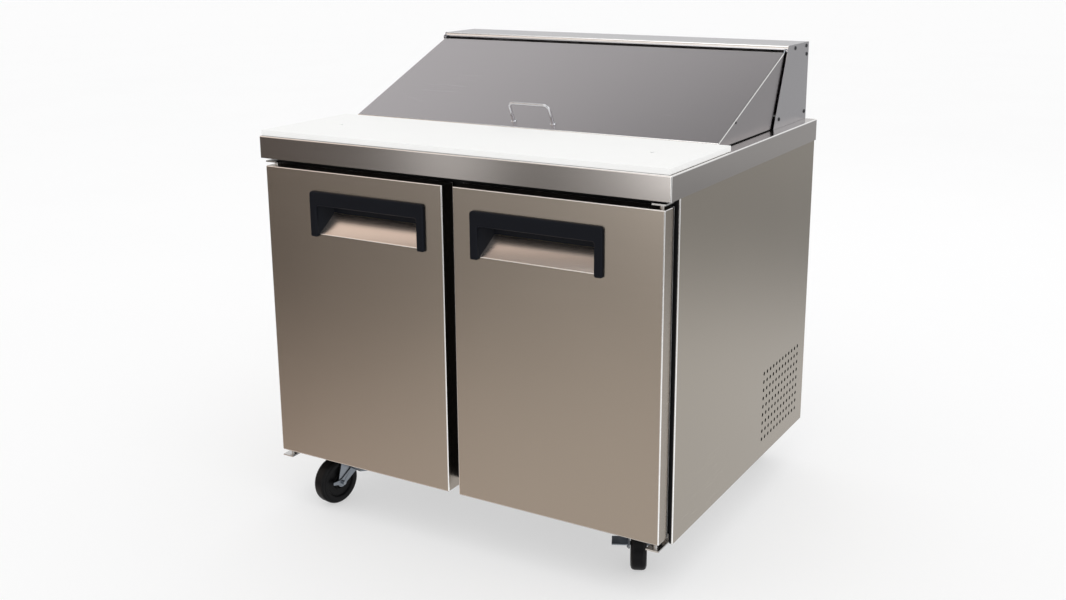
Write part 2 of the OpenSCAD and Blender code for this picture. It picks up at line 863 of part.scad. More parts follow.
side_panel_left();
side_panel_right();
back_panel();
rear_grille();
base_pan();
liner();
foam_walls();
face_frame();
center_mullion();
worktop();
rail_well();
pan_divider_bar();
food_pans_front();
food_pans_rear();
hood_cover();
hood_end_left();
hood_end_right();
hood_screws();
hinge_brackets();
wire_shelf_left();
wire_shelf_right();
shelf_supports();
evaporator_housing();
evaporator_coil();
evaporator_fan();
compressor();
condenser_coil();
condenser_shroud();
condenser_fan();
control_box();
caster_plates();
lid_cover();
lid_end_left();
lid_end_right();
lid_liner();
lid_handle();
lid_gasket();
left_door_skin();
left_door_liner();
left_door_foam();
left_door_gasket();
left_handle_frame();
left_handle_scoop();
right_door_skin();
right_door_liner();
right_door_foam();
right_door_gasket();
right_handle_frame();
right_handle_scoop();
cutting_board();
front_left_fork();
front_left_wheel();
front_left_brake();
front_right_fork();
front_right_wheel();
front_right_brake();
rear_left_fork();
rear_left_wheel();
rear_right_fork();
rear_right_wheel();
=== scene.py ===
"""Looks of a two-door refrigerated sandwich prep table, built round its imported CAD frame.

Every length is in metres, in the frame's own axes: +X to the right-hand door, +Y to the rear and
Z up from the floor. Pieces take their places from the boxes of the CAD nodes that they stand for.
"""

import json
import logging
import math
from dataclasses import dataclass, field
from enum import Enum
from typing import Callable, Iterable, Sequence

import bmesh
import bpy
from mathutils import Matrix, Vector

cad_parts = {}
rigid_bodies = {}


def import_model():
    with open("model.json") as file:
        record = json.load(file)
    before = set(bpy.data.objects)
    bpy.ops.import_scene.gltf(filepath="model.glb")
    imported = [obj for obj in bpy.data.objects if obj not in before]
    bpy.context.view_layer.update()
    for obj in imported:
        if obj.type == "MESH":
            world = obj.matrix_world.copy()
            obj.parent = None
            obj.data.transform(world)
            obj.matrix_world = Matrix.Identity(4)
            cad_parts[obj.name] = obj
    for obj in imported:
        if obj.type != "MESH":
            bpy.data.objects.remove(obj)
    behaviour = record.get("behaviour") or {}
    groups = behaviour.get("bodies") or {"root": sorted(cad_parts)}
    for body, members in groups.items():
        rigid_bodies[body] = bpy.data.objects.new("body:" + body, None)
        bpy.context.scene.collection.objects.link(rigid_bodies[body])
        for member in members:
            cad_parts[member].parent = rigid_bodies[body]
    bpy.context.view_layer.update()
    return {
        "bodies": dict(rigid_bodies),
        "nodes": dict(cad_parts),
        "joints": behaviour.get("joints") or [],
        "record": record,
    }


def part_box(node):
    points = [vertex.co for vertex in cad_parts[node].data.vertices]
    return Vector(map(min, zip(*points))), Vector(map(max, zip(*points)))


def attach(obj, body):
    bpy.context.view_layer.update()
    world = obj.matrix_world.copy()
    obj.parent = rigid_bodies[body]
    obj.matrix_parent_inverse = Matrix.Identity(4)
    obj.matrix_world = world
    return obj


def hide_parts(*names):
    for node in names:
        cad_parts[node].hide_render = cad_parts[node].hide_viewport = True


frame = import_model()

log = logging.getLogger("prep_table")

# Mask of rounded edges; brushed steel paints it near-white as a painted highlight.
BEND_LAYER = "bend"
SHARP_ANGLE = math.radians(38)

Colour = tuple[float, float, float]
Point = Sequence[float]


class Side(Enum):
    """A hand of the table, with the sign of its X."""

    LEFT = -1
    RIGHT = 1

    @property
    def word(self) -> str:
        """The side's name as the CAD nodes spell it."""
        return self.name.lower()


class Grain(Enum):
    """Direction of the brushing, as noise scales along X, Y and Z."""

    ALONG_X = (5.0, 900.0, 900.0)
    ALONG_Y = (900.0, 5.0, 900.0)
    ALONG_Z = (900.0, 900.0, 5.0)

    @property
    def index(self) -> int:
        """0, 1 or 2 for X, Y or Z."""
        return self.value.index(min(self.value))


# ---------------------------------------------------------------- shader kit


class Socket:
    """A shader output that adds a Math node whenever it is used in a sum."""

    def __init__(self, graph: "Graph", output: bpy.types.NodeSocket) -> None:
        """Wraps an output.

        Args:
            graph: The material under construction.
            output: The output socket to read from.
        """
        self.graph = graph
        self.output = output

    def _sum(self, operation: str, first: "Operand", second: "Operand") -> "Socket":
        """The Math node for one operation on two operands."""
        return self.graph.node("ShaderNodeMath", {"operation": operation}, {0: first, 1: second})

    def __add__(self, other: "Operand") -> "Socket":
        """self + other."""
        return self._sum("ADD", self, other)

    def __radd__(self, other: "Operand") -> "Socket":
        """other + self."""
        return self._sum("ADD", other, self)

    def __sub__(self, other: "Operand") -> "Socket":
        """self - other."""
        return self._sum("SUBTRACT", self, other)

    def __rsub__(self, other: "Operand") -> "Socket":
        """other - self."""
        return self._sum("SUBTRACT", other, self)

    def __mul__(self, other: "Operand") -> "Socket":
        """self * other."""
        return self._sum("MULTIPLY", self, other)

    def __rmul__(self, other: "Operand") -> "Socket":
        """other * self."""
        return self._sum("MULTIPLY", other, self)

    def __truediv__(self, other: "Operand") -> "Socket":
        """self / other."""
        return self._sum("DIVIDE", self, other)


Operand = Socket | float


class Graph:
    """A node tree under construction, of a material or of the surroundings."""

    def __init__(self, owner: bpy.types.Material | bpy.types.World) -> None:
        """Starts an empty tree.

        Args:
            owner: What the tree belongs to.
        """
        owner.use_nodes = True
        self.tree = owner.node_tree
        self.tree.nodes.clear()

    def node(
        self,
        kind: str,
        settings: dict[str, object] | None = None,
        inputs: dict[str | int, object] | None = None,
        output: str | int = 0,
    ) -> Socket:
        """Adds any node.

        Args:
            kind: Blender's type name for the node.
            settings: The node's own properties; "stops" fills a colour ramp.
            inputs: Socket names or numbers with their links or values.
            output: The output to hand back.

        Returns:
            The chosen output.
        """
        made = self.tree.nodes.new(kind)
        for name, value in (settings or {}).items():
            if name == "stops":
                ramp = made.color_ramp.elements
                while len(ramp) < len(value):
                    ramp.new(0.5)
                for element, (position, colour) in zip(ramp, value):
                    element.position = position
                    element.color = (*colour, 1.0)
            else:
                setattr(made, name, value)
        for key, value in (inputs or {}).items():
            socket = made.inputs[key]
            if isinstance(value, Socket):
                self.tree.links.new(value.output, socket)
            elif socket.type == "RGBA":
                socket.default_value = (*value, 1.0)
            else:
                socket.default_value = value
        return Socket(self, made.outputs[output])

    def place(self) -> Socket:
        """Position on the piece, in the frame's axes."""
        return self.node("ShaderNodeTexCoord", output="Object")

    def noise(self, scale: float | Point, detail: float = 3.0, rough: float = 0.55) -> Socket:
        """Cloudy noise from 0 to 1.

        Args:
            scale: Cells per metre, one number or one for each axis.
            detail: Octaves.
            rough: Share of the fine octaves.

        Returns:
            The noise's value.
        """
        point, per_metre = self.place(), scale
        if not isinstance(scale, (int, float)):
            point = self.node("ShaderNodeMapping", inputs={"Vector": point, "Scale": tuple(scale)})
            per_metre = 1.0
        wanted = {"Vector": point, "Scale": per_metre, "Detail": detail, "Roughness": rough}
        return self.node("ShaderNodeTexNoise", inputs=wanted)

    def cells(self, scale: float) -> Socket:
        """Distance to the nearest of many scattered points.

        Args:
            scale: Points per metre.

        Returns:
            The distance, in cells.
        """
        return self.node("ShaderNodeTexVoronoi", inputs={"Vector": self.place(), "Scale": scale})

    def axis(self, index: int) -> Socket:
        """One coordinate of the place on the piece, in metres.

        Args:
            index: 0, 1 or 2 for X, Y or Z.

        Returns:
            The coordinate.
        """
        return self.node("ShaderNodeSeparateXYZ", inputs={0: self.place()}, output=index)

    def facing(self, index: int) -> Socket:
        """1 where the surface faces along one axis of the piece, 0 elsewhere.

        Args:
            index: 0, 1 or 2 for X, Y or Z.

        Returns:
            The mask.
        """
        normal = self.node("ShaderNodeTexCoord", output="Normal")
        part = self.node("ShaderNodeSeparateXYZ", inputs={0: normal}, output=index)
        return self.step(part * part, 0.5, 0.6)

    def bend(self) -> Socket:
        """1 on a folded or rounded edge, 0 elsewhere."""
        return self.node("ShaderNodeAttribute", {"attribute_name": BEND_LAYER}, output="Fac")

    def step(self, value: Socket, low: float, high: float) -> Socket:
        """Smooth step from 0 to 1 as a value goes from low to high.

        Args:
            value: What is compared.
            low: Where the step starts.
            high: Where it ends.

        Returns:
            The step.
        """
        settings = {"interpolation_type": "SMOOTHSTEP"}
        return self.node("ShaderNodeMapRange", settings, {"Value": value, 1: low, 2: high, 3: 0.0, 4: 1.0})

    def mix(self, first: Socket | Colour, second: Socket | Colour, share: Operand) -> Socket:
        """Blend of two colours.

        Args:
            first: The colour at share 0.
            second: The colour at share 1.
            share: How much of the second shows.

        Returns:
            The blended colour.
        """
        return self.node("ShaderNodeMix", {"data_type": "RGBA"}, {0: share, 6: first, 7: second}, output=2)

    def relief(self, height: Socket, strength: float, depth: float) -> Socket:
        """Surface direction with small relief.

        Args:
            height: Height from 0 to 1.
            strength: How much of it shows.
            depth: Height of the relief, in metres.

        Returns:
            The normal.
        """
        wanted = {"Height": height, "Strength": strength, "Distance": depth}
        return self.node("ShaderNodeBump", inputs=wanted)

    def close(self, kind: str, shader: Socket) -> None:
        """Ends the tree.

        Args:
            kind: Type of the output node.
            shader: What it shows.
        """
        self.tree.links.new(shader.output, self.tree.nodes.new(kind).inputs["Surface"])

    def surface(self, **sockets: object) -> None:
        """Ends the tree in a Principled shader.

        Args:
            **sockets: Socket names, with _ for a space, and their links or values.
        """
        wanted = {name.replace("_", " "): value for name, value in sockets.items()}
        self.close("ShaderNodeOutputMaterial", self.node("ShaderNodeBsdfPrincipled", inputs=wanted))


# ---------------------------------------------------------------- finishes


class Finish:
    """A surface finish. Each subclass is a frozen dataclass that says how it varies."""

    made: dict["Finish", bpy.types.Material] = {}

    def shade(self, graph: Graph) -> None:
        """Fills the material's tree."""
        raise NotImplementedError

    def material(self) -> bpy.types.Material:
        """The finish as a material, built once.

        Returns:
            The material.
        """
        if self not in Finish.made:
            Finish.made[self] = bpy.data.materials.new(self.name)
            self.shade(Graph(Finish.made[self]))
        return Finish.made[self]


@dataclass(frozen=True)
class BrushedSteel(Finish):
    """Stainless sheet with a brushed grain, cloudy patches, and rounded folds painted near-white as a painted
    highlight.
    """

    name: str
    tint: Colour
    grain: Grain = Grain.ALONG_X
    rough: float = 0.3
    relief: float = 0.025
    # The fold colour is a painted highlight laid on rounded folds.
    fold: Colour = (0.95, 0.94, 0.93)

    def shade(self, graph: Graph) -> None:
        """Fills the material's tree.

        Args:
            graph: The empty tree.
        """
        ends = graph.facing(self.grain.index)
        end_grain = Grain.ALONG_X if self.grain is Grain.ALONG_Z else Grain.ALONG_Z
        lines = (graph.noise(self.grain.value, 4.0, 0.7) * (1 - ends)
                 + graph.noise(end_grain.value, 4.0, 0.7) * ends)
        clouds = graph.noise(2.4, 2.0)
        dark = tuple(0.94 * c for c in self.tint)
        light = tuple(min(1.0, 1.06 * c) for c in self.tint)
        body = graph.mix(dark, light, lines * 0.5 + clouds * 0.5)
        # Rounded folds are painted near-white: a painted highlight, with lower roughness.
        painted_fold_highlight = graph.bend()
        colour = graph.mix(body, self.fold, painted_fold_highlight * 0.9)
        rough = (self.rough + (lines - 0.5) * 0.06 + (clouds - 0.5) * 0.03) * (1 - painted_fold_highlight * 0.35)
        graph.surface(
            Base_Color=colour,
            Metallic=1.0,
            Roughness=rough,
            Normal=graph.relief(lines, self.relief, 0.0002),
        )


@dataclass(frozen=True)
class DullSteel(Finish):
    """Plated or coated sheet with a fine spangle."""

    name: str
    tint: Colour
    rough: float = 0.42
    metallic: float = 0.9
    spangle: float = 160.0

    def shade(self, graph: Graph) -> None:
        """Fills the material's tree.

        Args:
            graph: The empty tree.
        """
        cells = graph.cells(self.spangle)
        clouds = graph.noise(14.0, 4.0)
        dark = tuple(0.78 * c for c in self.tint)
        colour = graph.mix(dark, self.tint, cells * 0.5 + clouds * 0.6)
        rough = self.rough + (clouds - 0.5) * 0.2 - graph.bend() * 0.1
        relief = graph.relief(graph.noise(700.0, 3.0), 0.08, 0.0003)
        graph.surface(Base_Color=colour, Metallic=self.metallic, Roughness=rough, Normal=relief)


@dataclass(frozen=True)
class Moulded(Finish):
    """Moulded plastic, rubber or paint with a fine leathery texture."""

    name: str
    tint: Colour
    worn: Colour
    rough: float = 0.5
    texture: float = 900.0
    relief: float = 0.15
    coat: float = 0.0
    shine: float = 0.5

    def shade(self, graph: Graph) -> None:
        """Fills the material's tree.

        Args:
            graph: The empty tree.
        """
        pebble = graph.noise(self.texture, 2.0)
        clouds = graph.noise(30.0, 4.0)
        scuffs = graph.step(graph.noise(85.0, 5.0, 0.7), 0.6, 0.75)
        colour = graph.mix(self.tint, self.worn, scuffs * 0.35 + clouds * 0.25 + graph.bend() * 0.25)
        rough = self.rough + (clouds - 0.5) * 0.18 + scuffs * 0.08
        graph.surface(
            Base_Color=colour,
            Roughness=rough,
            Specular_IOR_Level=self.shine,
            Coat_Weight=self.coat,
            Coat_Roughness=0.25,
            Normal=graph.relief(pebble, self.relief, 0.0003),
        )


@dataclass(frozen=True)
class BoardPlastic(Finish):
    """White cutting board with a fine grained surface and faint knife marks."""

    name: str = "white_board"
    tint: Colour = (0.92, 0.92, 0.905)

    def shade(self, graph: Graph) -> None:
        """Fills the material's tree.

        Args:
            graph: The empty tree.
        """
        grain = graph.noise(1100.0, 2.0)
        clouds = graph.noise(7.0, 3.0)
        across = graph.step(graph.noise((260.0, 7.0, 7.0), 3.0, 0.6), 0.7, 0.74)
        along = graph.step(graph.noise((9.0, 300.0, 9.0), 3.0, 0.6), 0.71, 0.75)
        marks = across * 0.5 + along * 0.5
        shade = tuple(0.93 * c for c in self.tint)
        colour = graph.mix(self.tint, shade, clouds * 0.4 + marks * 0.35)
        graph.surface(
            Base_Color=colour,
            Roughness=0.52 + (clouds - 0.5) * 0.2,
            Normal=graph.relief(grain - marks * 0.6, 0.12, 0.0003),
        )


@dataclass(frozen=True)
class Foam(Finish):
    """Cream rigid foam with open cells."""

    name: str = "cream_foam"
    tint: Colour = (0.72, 0.62, 0.34)

    def shade(self, graph: Graph) -> None:
        """Fills the material's tree.

        Args:
            graph: The empty tree.
        """
        cells = graph.cells(420.0)
        pale = tuple(min(1.0, 1.25 * c) for c in self.tint)
        colour = graph.mix(self.tint, pale, cells)
        graph.surface(Base_Color=colour, Roughness=0.9, Normal=graph.relief(cells, 0.5, 0.0008))


@dataclass(frozen=True)
class Fins(Finish):
    """Thin fins of a heat exchanger, packed along X or Y, drawn as light stripes with painted shade between
    them.
    """

    name: str
    axis: int
    pitch: float = 0.0026

    def shade(self, graph: Graph) -> None:
        """Fills the material's tree.

        Args:
            graph: The empty tree.
        """
        turns = graph.axis(self.axis) * (math.tau / self.pitch)
        wave = graph.node("ShaderNodeMath", {"operation": "SINE"}, {0: turns}) * 0.5 + 0.5
        dust = graph.noise(60.0, 4.0)
        # The dark colour between the stripes is painted shade in the gaps between fins.
        colour = graph.mix((0.12, 0.12, 0.13), (0.62, 0.63, 0.65), wave * (1 - dust * 0.4))
        graph.surface(
            Base_Color=colour,
            Metallic=0.85,
            Roughness=0.4 + dust * 0.2,
            Normal=graph.relief(wave, 0.8, 0.001),
        )


@dataclass(frozen=True)
class Floor(Finish):
    """Plain pale studio floor."""

    name: str = "studio_floor"
    tint: Colour = (0.46, 0.46, 0.46)
    glow: float = 1.08

    def shade(self, graph: Graph) -> None:
        """Fills the material's tree.

        Args:
            graph: The empty tree.
        """
        clouds = graph.noise(1.2, 3.0)
        shade = tuple(0.985 * c for c in self.tint)
        colour = graph.mix(self.tint, shade, clouds)
        graph.surface(
            Base_Color=colour, Roughness=0.75 + clouds * 0.1, Emission_Color=colour,
            Emission_Strength=self.glow,
        )


# The stainless finishes are one metal with different tints: painted light and shade, darker and warmer on the
# doors, brighter on the worktop, hood and scoop.
DOOR_STEEL = BrushedSteel("door_steel", (0.415, 0.368, 0.318), Grain.ALONG_X, 0.25)
EDGE_STEEL = BrushedSteel("worktop_steel", (0.52, 0.49, 0.47), Grain.ALONG_X, 0.15)
SIDE_STEEL = BrushedSteel("side_steel", (0.455, 0.41, 0.35), Grain.ALONG_Y, 0.26)
LID_STEEL = BrushedSteel("lid_steel", (0.47, 0.445, 0.455), Grain.ALONG_X, 0.26)
HOOD_STEEL = BrushedSteel("hood_steel", (0.58, 0.57, 0.59), Grain.ALONG_X, 0.26)
SCOOP_STEEL = BrushedSteel("scoop_steel", (0.88, 0.80, 0.74), Grain.ALONG_X, 0.22, 0.03)
PAN_STEEL = BrushedSteel("pan_steel", (0.62, 0.61, 0.60), Grain.ALONG_X, 0.24, 0.02)
BACK_STEEL = DullSteel("galvanised_steel", (0.52, 0.53, 0.54), 0.45)
LINER_METAL = DullSteel("liner_metal", (0.68, 0.69, 0.70), 0.38, 0.8, 60.0)
ZINC = DullSteel("zinc_plate", (0.36, 0.39, 0.43), 0.34, 1.0, 300.0)
LEVER_ZINC = DullSteel("bright_zinc", (0.30, 0.33, 0.37), 0.32, 1.0, 300.0)
SHELF_WIRE = DullSteel("shelf_wire", (0.70, 0.72, 0.74), 0.28, 1.0, 260.0)
CHROME = BrushedSteel("chrome_wire", (0.62, 0.62, 0.64), Grain.ALONG_X, 0.12, 0.01)
BLACK_MOULDING = Moulded("black_moulding", (0.0025, 0.0035, 0.0065), (0.008, 0.010, 0.015), 0.45,
                         shine=0.12)
BLACK_FRAME = Moulded("black_frame", (0.006, 0.006, 0.007), (0.014, 0.014, 0.015), 0.6, shine=0.25)
SEAL = Moulded("seal_rubber", (0.010, 0.010, 0.011), (0.025, 0.025, 0.025), 0.62, 500.0, 0.2, shine=0.25)
WHEEL_RUBBER = Moulded("wheel_rubber", (0.003, 0.003, 0.0035), (0.012, 0.012, 0.013), 0.38, 700.0, 0.2,
                       shine=0.14)
COMPRESSOR_PAINT = Moulded("compressor_paint", (0.011, 0.011, 0.012), (0.05, 0.05, 0.05), 0.3, 260.0, 0.1,
                           0.4)
BOX_GREY = Moulded("grey_box", (0.16, 0.17, 0.18), (0.24, 0.25, 0.26), 0.48, 600.0, 0.12)
DARK_SCREW = DullSteel("black_screw", (0.05, 0.05, 0.055), 0.35, 0.8, 500.0)
BOARD = BoardPlastic()
FOAM = Foam()


# ---------------------------------------------------------------- mesh kit


@dataclass(frozen=True)
class Box:
    """Lowest and highest corners of something in the frame."""

    low: Vector
    high: Vector

    @classmethod
    def of(cls, *nodes: str) -> "Box":
        """The box round one or more CAD nodes.

        Args:
            *nodes: The nodes' names.

        Returns:
            Their common box.
        """
        found = [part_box(node) for node in nodes]
        low = Vector(min(f[0][i] for f in found) for i in range(3))
        high = Vector(max(f[1][i] for f in found) for i in range(3))
        return cls(low, high)

    @property
    def middle(self) -> Vector:
        """The box's centre."""
        return (self.low + self.high) / 2

    @property
    def size(self) -> Vector:
        """The box's sides."""
        return self.high - self.low


class Piece:
    """A named mesh under construction, and how it joins the frame."""

    def __init__(self, name: str) -> None:
        """Starts an empty mesh.

        Args:
            name: The piece's name.
        """
        self.name = name
        self.mesh = bmesh.new()
        self.known: dict[tuple[int, int, int], bmesh.types.BMVert] = {}
        self.gauge = 0.0

    def vertex(self, point: Point) -> bmesh.types.BMVert:
        """The vertex at a point; the same point gives the same vertex.

        Args:
            point: Where it is.

        Returns:
            The vertex.
        """
        key = tuple(round(c * 1e6) for c in point)
        if key not in self.known:
            self.known[key] = self.mesh.verts.new(point)
        return self.known[key]

    def face(self, points: Iterable[Point]) -> bmesh.types.BMFace:
        """A face through points in order.

        Args:
            points: Its corners.

        Returns:
            The face.
        """
        return self.mesh.faces.new([self.vertex(p) for p in points])

    def block(self, low: Point, high: Point) -> None:
        """A closed box of its own.

        Args:
            low: Its lowest corner.
            high: Its highest corner.
        """
        self.known.clear()
        x, y, z = zip(low, high)
        corner = [(x[i], y[j], z[k]) for i in (0, 1) for j in (0, 1) for k in (0, 1)]
        for loop in ((0, 1, 3, 2), (4, 6, 7, 5), (0, 4, 5, 1), (2, 3, 7, 6), (0, 2, 6, 4), (1, 5, 7, 3)):
            self.face([corner[i] for i in loop])
        self.known.clear()

    def loft(self, loops: Sequence[Sequence[Point]], closed: bool = True, caps: bool = False) -> None:
        """Faces between loops of equal length.

        Args:
            loops: The loops, in order.
            closed: Whether each loop's end joins its start.
            caps: Whether the first and last loops are filled.
        """
        count = len(loops[0])
        for near, far in zip(loops, loops[1:]):
            for i in range(count if closed else count - 1):
                j = (i + 1) % count
                corners = [near[i], near[j], far[j], far[i]]
                if len({tuple(round(c * 1e6) for c in p) for p in corners}) > 2:
                    distinct = []
                    for p in corners:
                        if all(self.vertex(p) != self.vertex(q) for q in distinct):
                            distinct.append(p)
                    self.face(distinct)
        if caps:
            self.face(list(reversed(loops[0])))
            self.face(loops[-1])

    def extrude(self, outline: Sequence[tuple[float, float]], place: Callable[[float, float, float], Point],
                near: float, far: float) -> None:
        """A closed prism.

        Args:
            outline: Corners in the prism's own two coordinates.
            place: Turns the two coordinates and the distance along the prism into a point.
            near: Where the prism starts.
            far: Where it ends.
        """
        loops = [[place(u, v, d) for u, v in outline] for d in (near, far)]
        self.loft(loops, caps=True)

    def round_edges(self, radius: float, segments: int = 3, least: float = 28.0,
                    chosen: Callable[[bmesh.types.BMEdge], bool] | None = None) -> None:
        """Rounds the sharp edges between two faces, and marks what is rounded.

        Args:
            radius: Width of the rounding.
            segments: Faces across it.
            least: Smallest angle that counts as sharp, in degrees.
            chosen: Picks among the sharp edges.
        """
        bmesh.ops.recalc_face_normals(self.mesh, faces=self.mesh.faces)
        sharp = [
            e
            for e in self.mesh.edges
            if len(e.link_faces) == 2 and e.calc_face_angle(0) > math.radians(least)
            and (chosen is None or chosen(e))
        ]
        layer = self.mesh.faces.layers.float.get(BEND_LAYER) or self.mesh.faces.layers.float.new(BEND_LAYER)
        made = bmesh.ops.bevel(
            self.mesh, geom=sharp, offset=radius, offset_type="OFFSET", segments=segments,
            profile=0.5, affect="EDGES", clamp_overlap=True,
        )
        for face in made["faces"]:
            face[layer] = 1.0
        self.known.clear()

    def thicken(self, gauge: float, inside: Point) -> None:
        """Gives an open shell its thickness, towards the inside.

        Args:
            gauge: Thickness of the sheet.
            inside: A point on the inner side.
        """
        bmesh.ops.recalc_face_normals(self.mesh, faces=self.mesh.faces)
        centre = Vector(inside)
        outward = sum(
            f.calc_area() * f.normal.dot((f.calc_center_median() - centre).normalized())
            for f in self.mesh.faces
        )
        if outward < 0:
            bmesh.ops.reverse_faces(self.mesh, faces=self.mesh.faces)
        self.gauge = gauge

    def build(self, body: str, finish: Finish, slot: str, *stands_for: str) -> bpy.types.Object:
        """Turns the mesh into an object that rides on a body.

        Args:
            body: The CAD body it moves with.
            finish: Its finish.
            slot: The record's material slot; not used.
            *stands_for: CAD nodes that it replaces.

        Returns:
            The object.
        """
        data = bpy.data.meshes.new(self.name)
        if not self.gauge:
            bmesh.ops.recalc_face_normals(self.mesh, faces=self.mesh.faces)
        self.mesh.to_mesh(data)
        self.mesh.free()
        made = bpy.data.objects.new(self.name, data)
        bpy.context.scene.collection.objects.link(made)
        if self.gauge:
            solid = made.modifiers.new("thickness", "SOLIDIFY")
            solid.thickness, solid.offset, solid.use_even_offset = self.gauge, -1.0, True
            bpy.context.view_layer.update()
            shown = made.evaluated_get(bpy.context.evaluated_depsgraph_get())
            data = bpy.data.meshes.new_from_object(shown)
            data.name = self.name
            made.modifiers.clear()
            made.data = data
        data.polygons.foreach_set("use_smooth", [True] * len(data.polygons))
        data.set_sharp_from_angle(angle=SHARP_ANGLE)
        level = made.modifiers.new("even_shading", "WEIGHTED_NORMAL")
        level.keep_sharp = True
        data.materials.clear()
        data.materials.append(finish.material())
        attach(made, body)
        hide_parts(*stands_for)
        log.info("%s: %d faces on %s", self.name, len(data.polygons), body)
        return made


def along_x(u: float, v: float, d: float) -> Point:
    """Outline in Y and Z, drawn out along X."""
    return (d, u, v)


def along_y(u: float, v: float, d: float) -> Point:
    """Outline in X and Z, drawn out along Y."""
    return (u, d, v)


def along_z(u: float, v: float, d: float) -> Point:
    """Outline in X and Y, drawn out along Z."""
    return (u, v, d)


def rounded(outline: Sequence[tuple[float, float]], radii: Sequence[float],
            steps: int = 5) -> list[tuple[float, float]]:
    """An outline with round corners.

    Args:
        outline: Its corners, in order.
        radii: A radius for each corner; 0 keeps it sharp.
        steps: Points on each round.

    Returns:
        The new outline.
    """
    made = []
    for i, (corner, radius) in enumerate(zip(outline, radii)):
        here = Vector(corner)
        back = (Vector(outline[i - 1]) - here).normalized()
        ahead = (Vector(outline[(i + 1) % len(outline)]) - here).normalized()
        if radius <= 0:
            made.append(tuple(here))
            continue
        half = back.angle(ahead) / 2
        centre = here + (back + ahead).normalized() * (radius / math.sin(half))
        start = here + back * (radius / math.tan(half)) - centre
        turn = start.angle_signed(here + ahead * (radius / math.tan(half)) - centre)
        for k in range(steps + 1):
            angle = -turn * k / steps
            made.append(tuple(centre + Matrix.Rotation(angle, 2) @ start))
    return made


def ring(centre: Point, axis: Vector, radius: float, count: int, start: Vector) -> list[Vector]:
    """Points of a circle.

    Args:
        centre: Its centre.
        axis: Its axis.
        radius: Its radius.
        count: How many points.
        start: Direction of the first point, square to the axis.

    Returns:
        The points.
    """
    return [
        Vector(centre) + Matrix.Rotation(math.tau * i / count, 3, axis) @ start.normalized() * radius
        for i in range(count)
    ]


def turned(piece: Piece, centre: Point, axis: Vector, outline: Sequence[tuple[float, float]],
           count: int = 48) -> None:
    """A turned shape added to a piece.

    Args:
        piece: The piece.
        centre: A point on the axis.
        axis: Direction of the axis.
        outline: Distance along the axis and radius, from one end to the other.
        count: Faces round it.
    """
    axis = axis.normalized()
    start = axis.orthogonal()
    loops = [ring(Vector(centre) + axis * d, axis, max(r, 1e-5), count, start) for d, r in outline]
    piece.known.clear()
    piece.loft(loops, caps=True)
    piece.known.clear()


def wire(piece: Piece, points: Sequence[Point], radius: float, count: int = 14, closed: bool = False) -> None:
    """A round wire along a line, added to a piece.

    Args:
        piece: The piece.
        points: The wire's centre line.
        radius: The wire's radius.
        count: Faces round it.
        closed: Whether the line comes back to its start.
    """
    line = [Vector(p) for p in points]
    total = len(line)
    side = None
    loops = []
    for i, here in enumerate(line):
        before = line[i - 1] if i or closed else here
        after = line[(i + 1) % total] if i < total - 1 or closed else here
        heading = (after - before).normalized()
        side = heading.orthogonal() if side is None else side - heading * side.dot(heading)
        side.normalize()
        loops.append(ring(here, heading, radius, count, side))
    piece.known.clear()
    piece.loft(loops + ([loops[0]] if closed else []), caps=not closed)
    piece.known.clear()


def holed_cell(piece: Piece, place: Callable[[float, float], Point], low: tuple[float, float],
               high: tuple[float, float], centre: tuple[float, float], radius: float,
               count: int = 16) -> list[Point]:
    """A flat rectangle with a round hole, added to a piece.

    Args:
        piece: The piece.
        place: Turns the rectangle's two coordinates into a point.
        low: Its lowest corner.
        high: Its highest corner.
        centre: The hole's centre.
        radius: The hole's radius.
        count: Points round the hole, a multiple of 4.

    Returns:
        The hole's edge.
    """
    hole = [
        place(centre[0] + radius * math.cos(a), centre[1] + radius * math.sin(a))
        for a in (math.tau * (k + 0.5) / count for k in range(count))
    ]
    corners = [place(high[0], high[1]), place(low[0], high[1]), place(low[0], low[1]), place(high[0], low[1])]
    quarter = count // 4
    for q, corner in enumerate(corners):
        arc = hole[q * quarter:(q + 1) * quarter]
        piece.face([corner, *reversed(arc)])
        piece.face([corner, arc[-1], hole[(q + 1) * quarter % count], corners[(q + 1) % 4]])
    return hole


def dress(node: str, finish: Finish, width: float = 0.0005, segments: int = 2) -> bpy.types.Object:
    """Gives a CAD node that is kept its finish and its rounded edges.

    Args:
        node: The node's name.
        finish: Its finish.
        width: Width of the rounding; 0 leaves the edges as they are.
        segments: Faces across a rounding.

    Returns:
        The node's object.
    """
    made = frame["nodes"][node]
    if width:
        weld = made.modifiers.new("weld", "WELD")
        weld.merge_threshold = 1e-6
        edge = made.modifiers.new("rounded_edges", "BEVEL")
        edge.width, edge.segments, edge.limit_method = width, segments, "ANGLE"
        edge.angle_limit = math.radians(32)
        level = made.modifiers.new("even_shading", "WEIGHTED_NORMAL")
        level.keep_sharp = False
    made.data.materials.clear()
    made.data.materials.append(finish.material())
    for polygon in made.data.polygons:
        polygon.material_index = 0
        polygon.use_smooth = True
    return made


# ---------------------------------------------------------------- studio


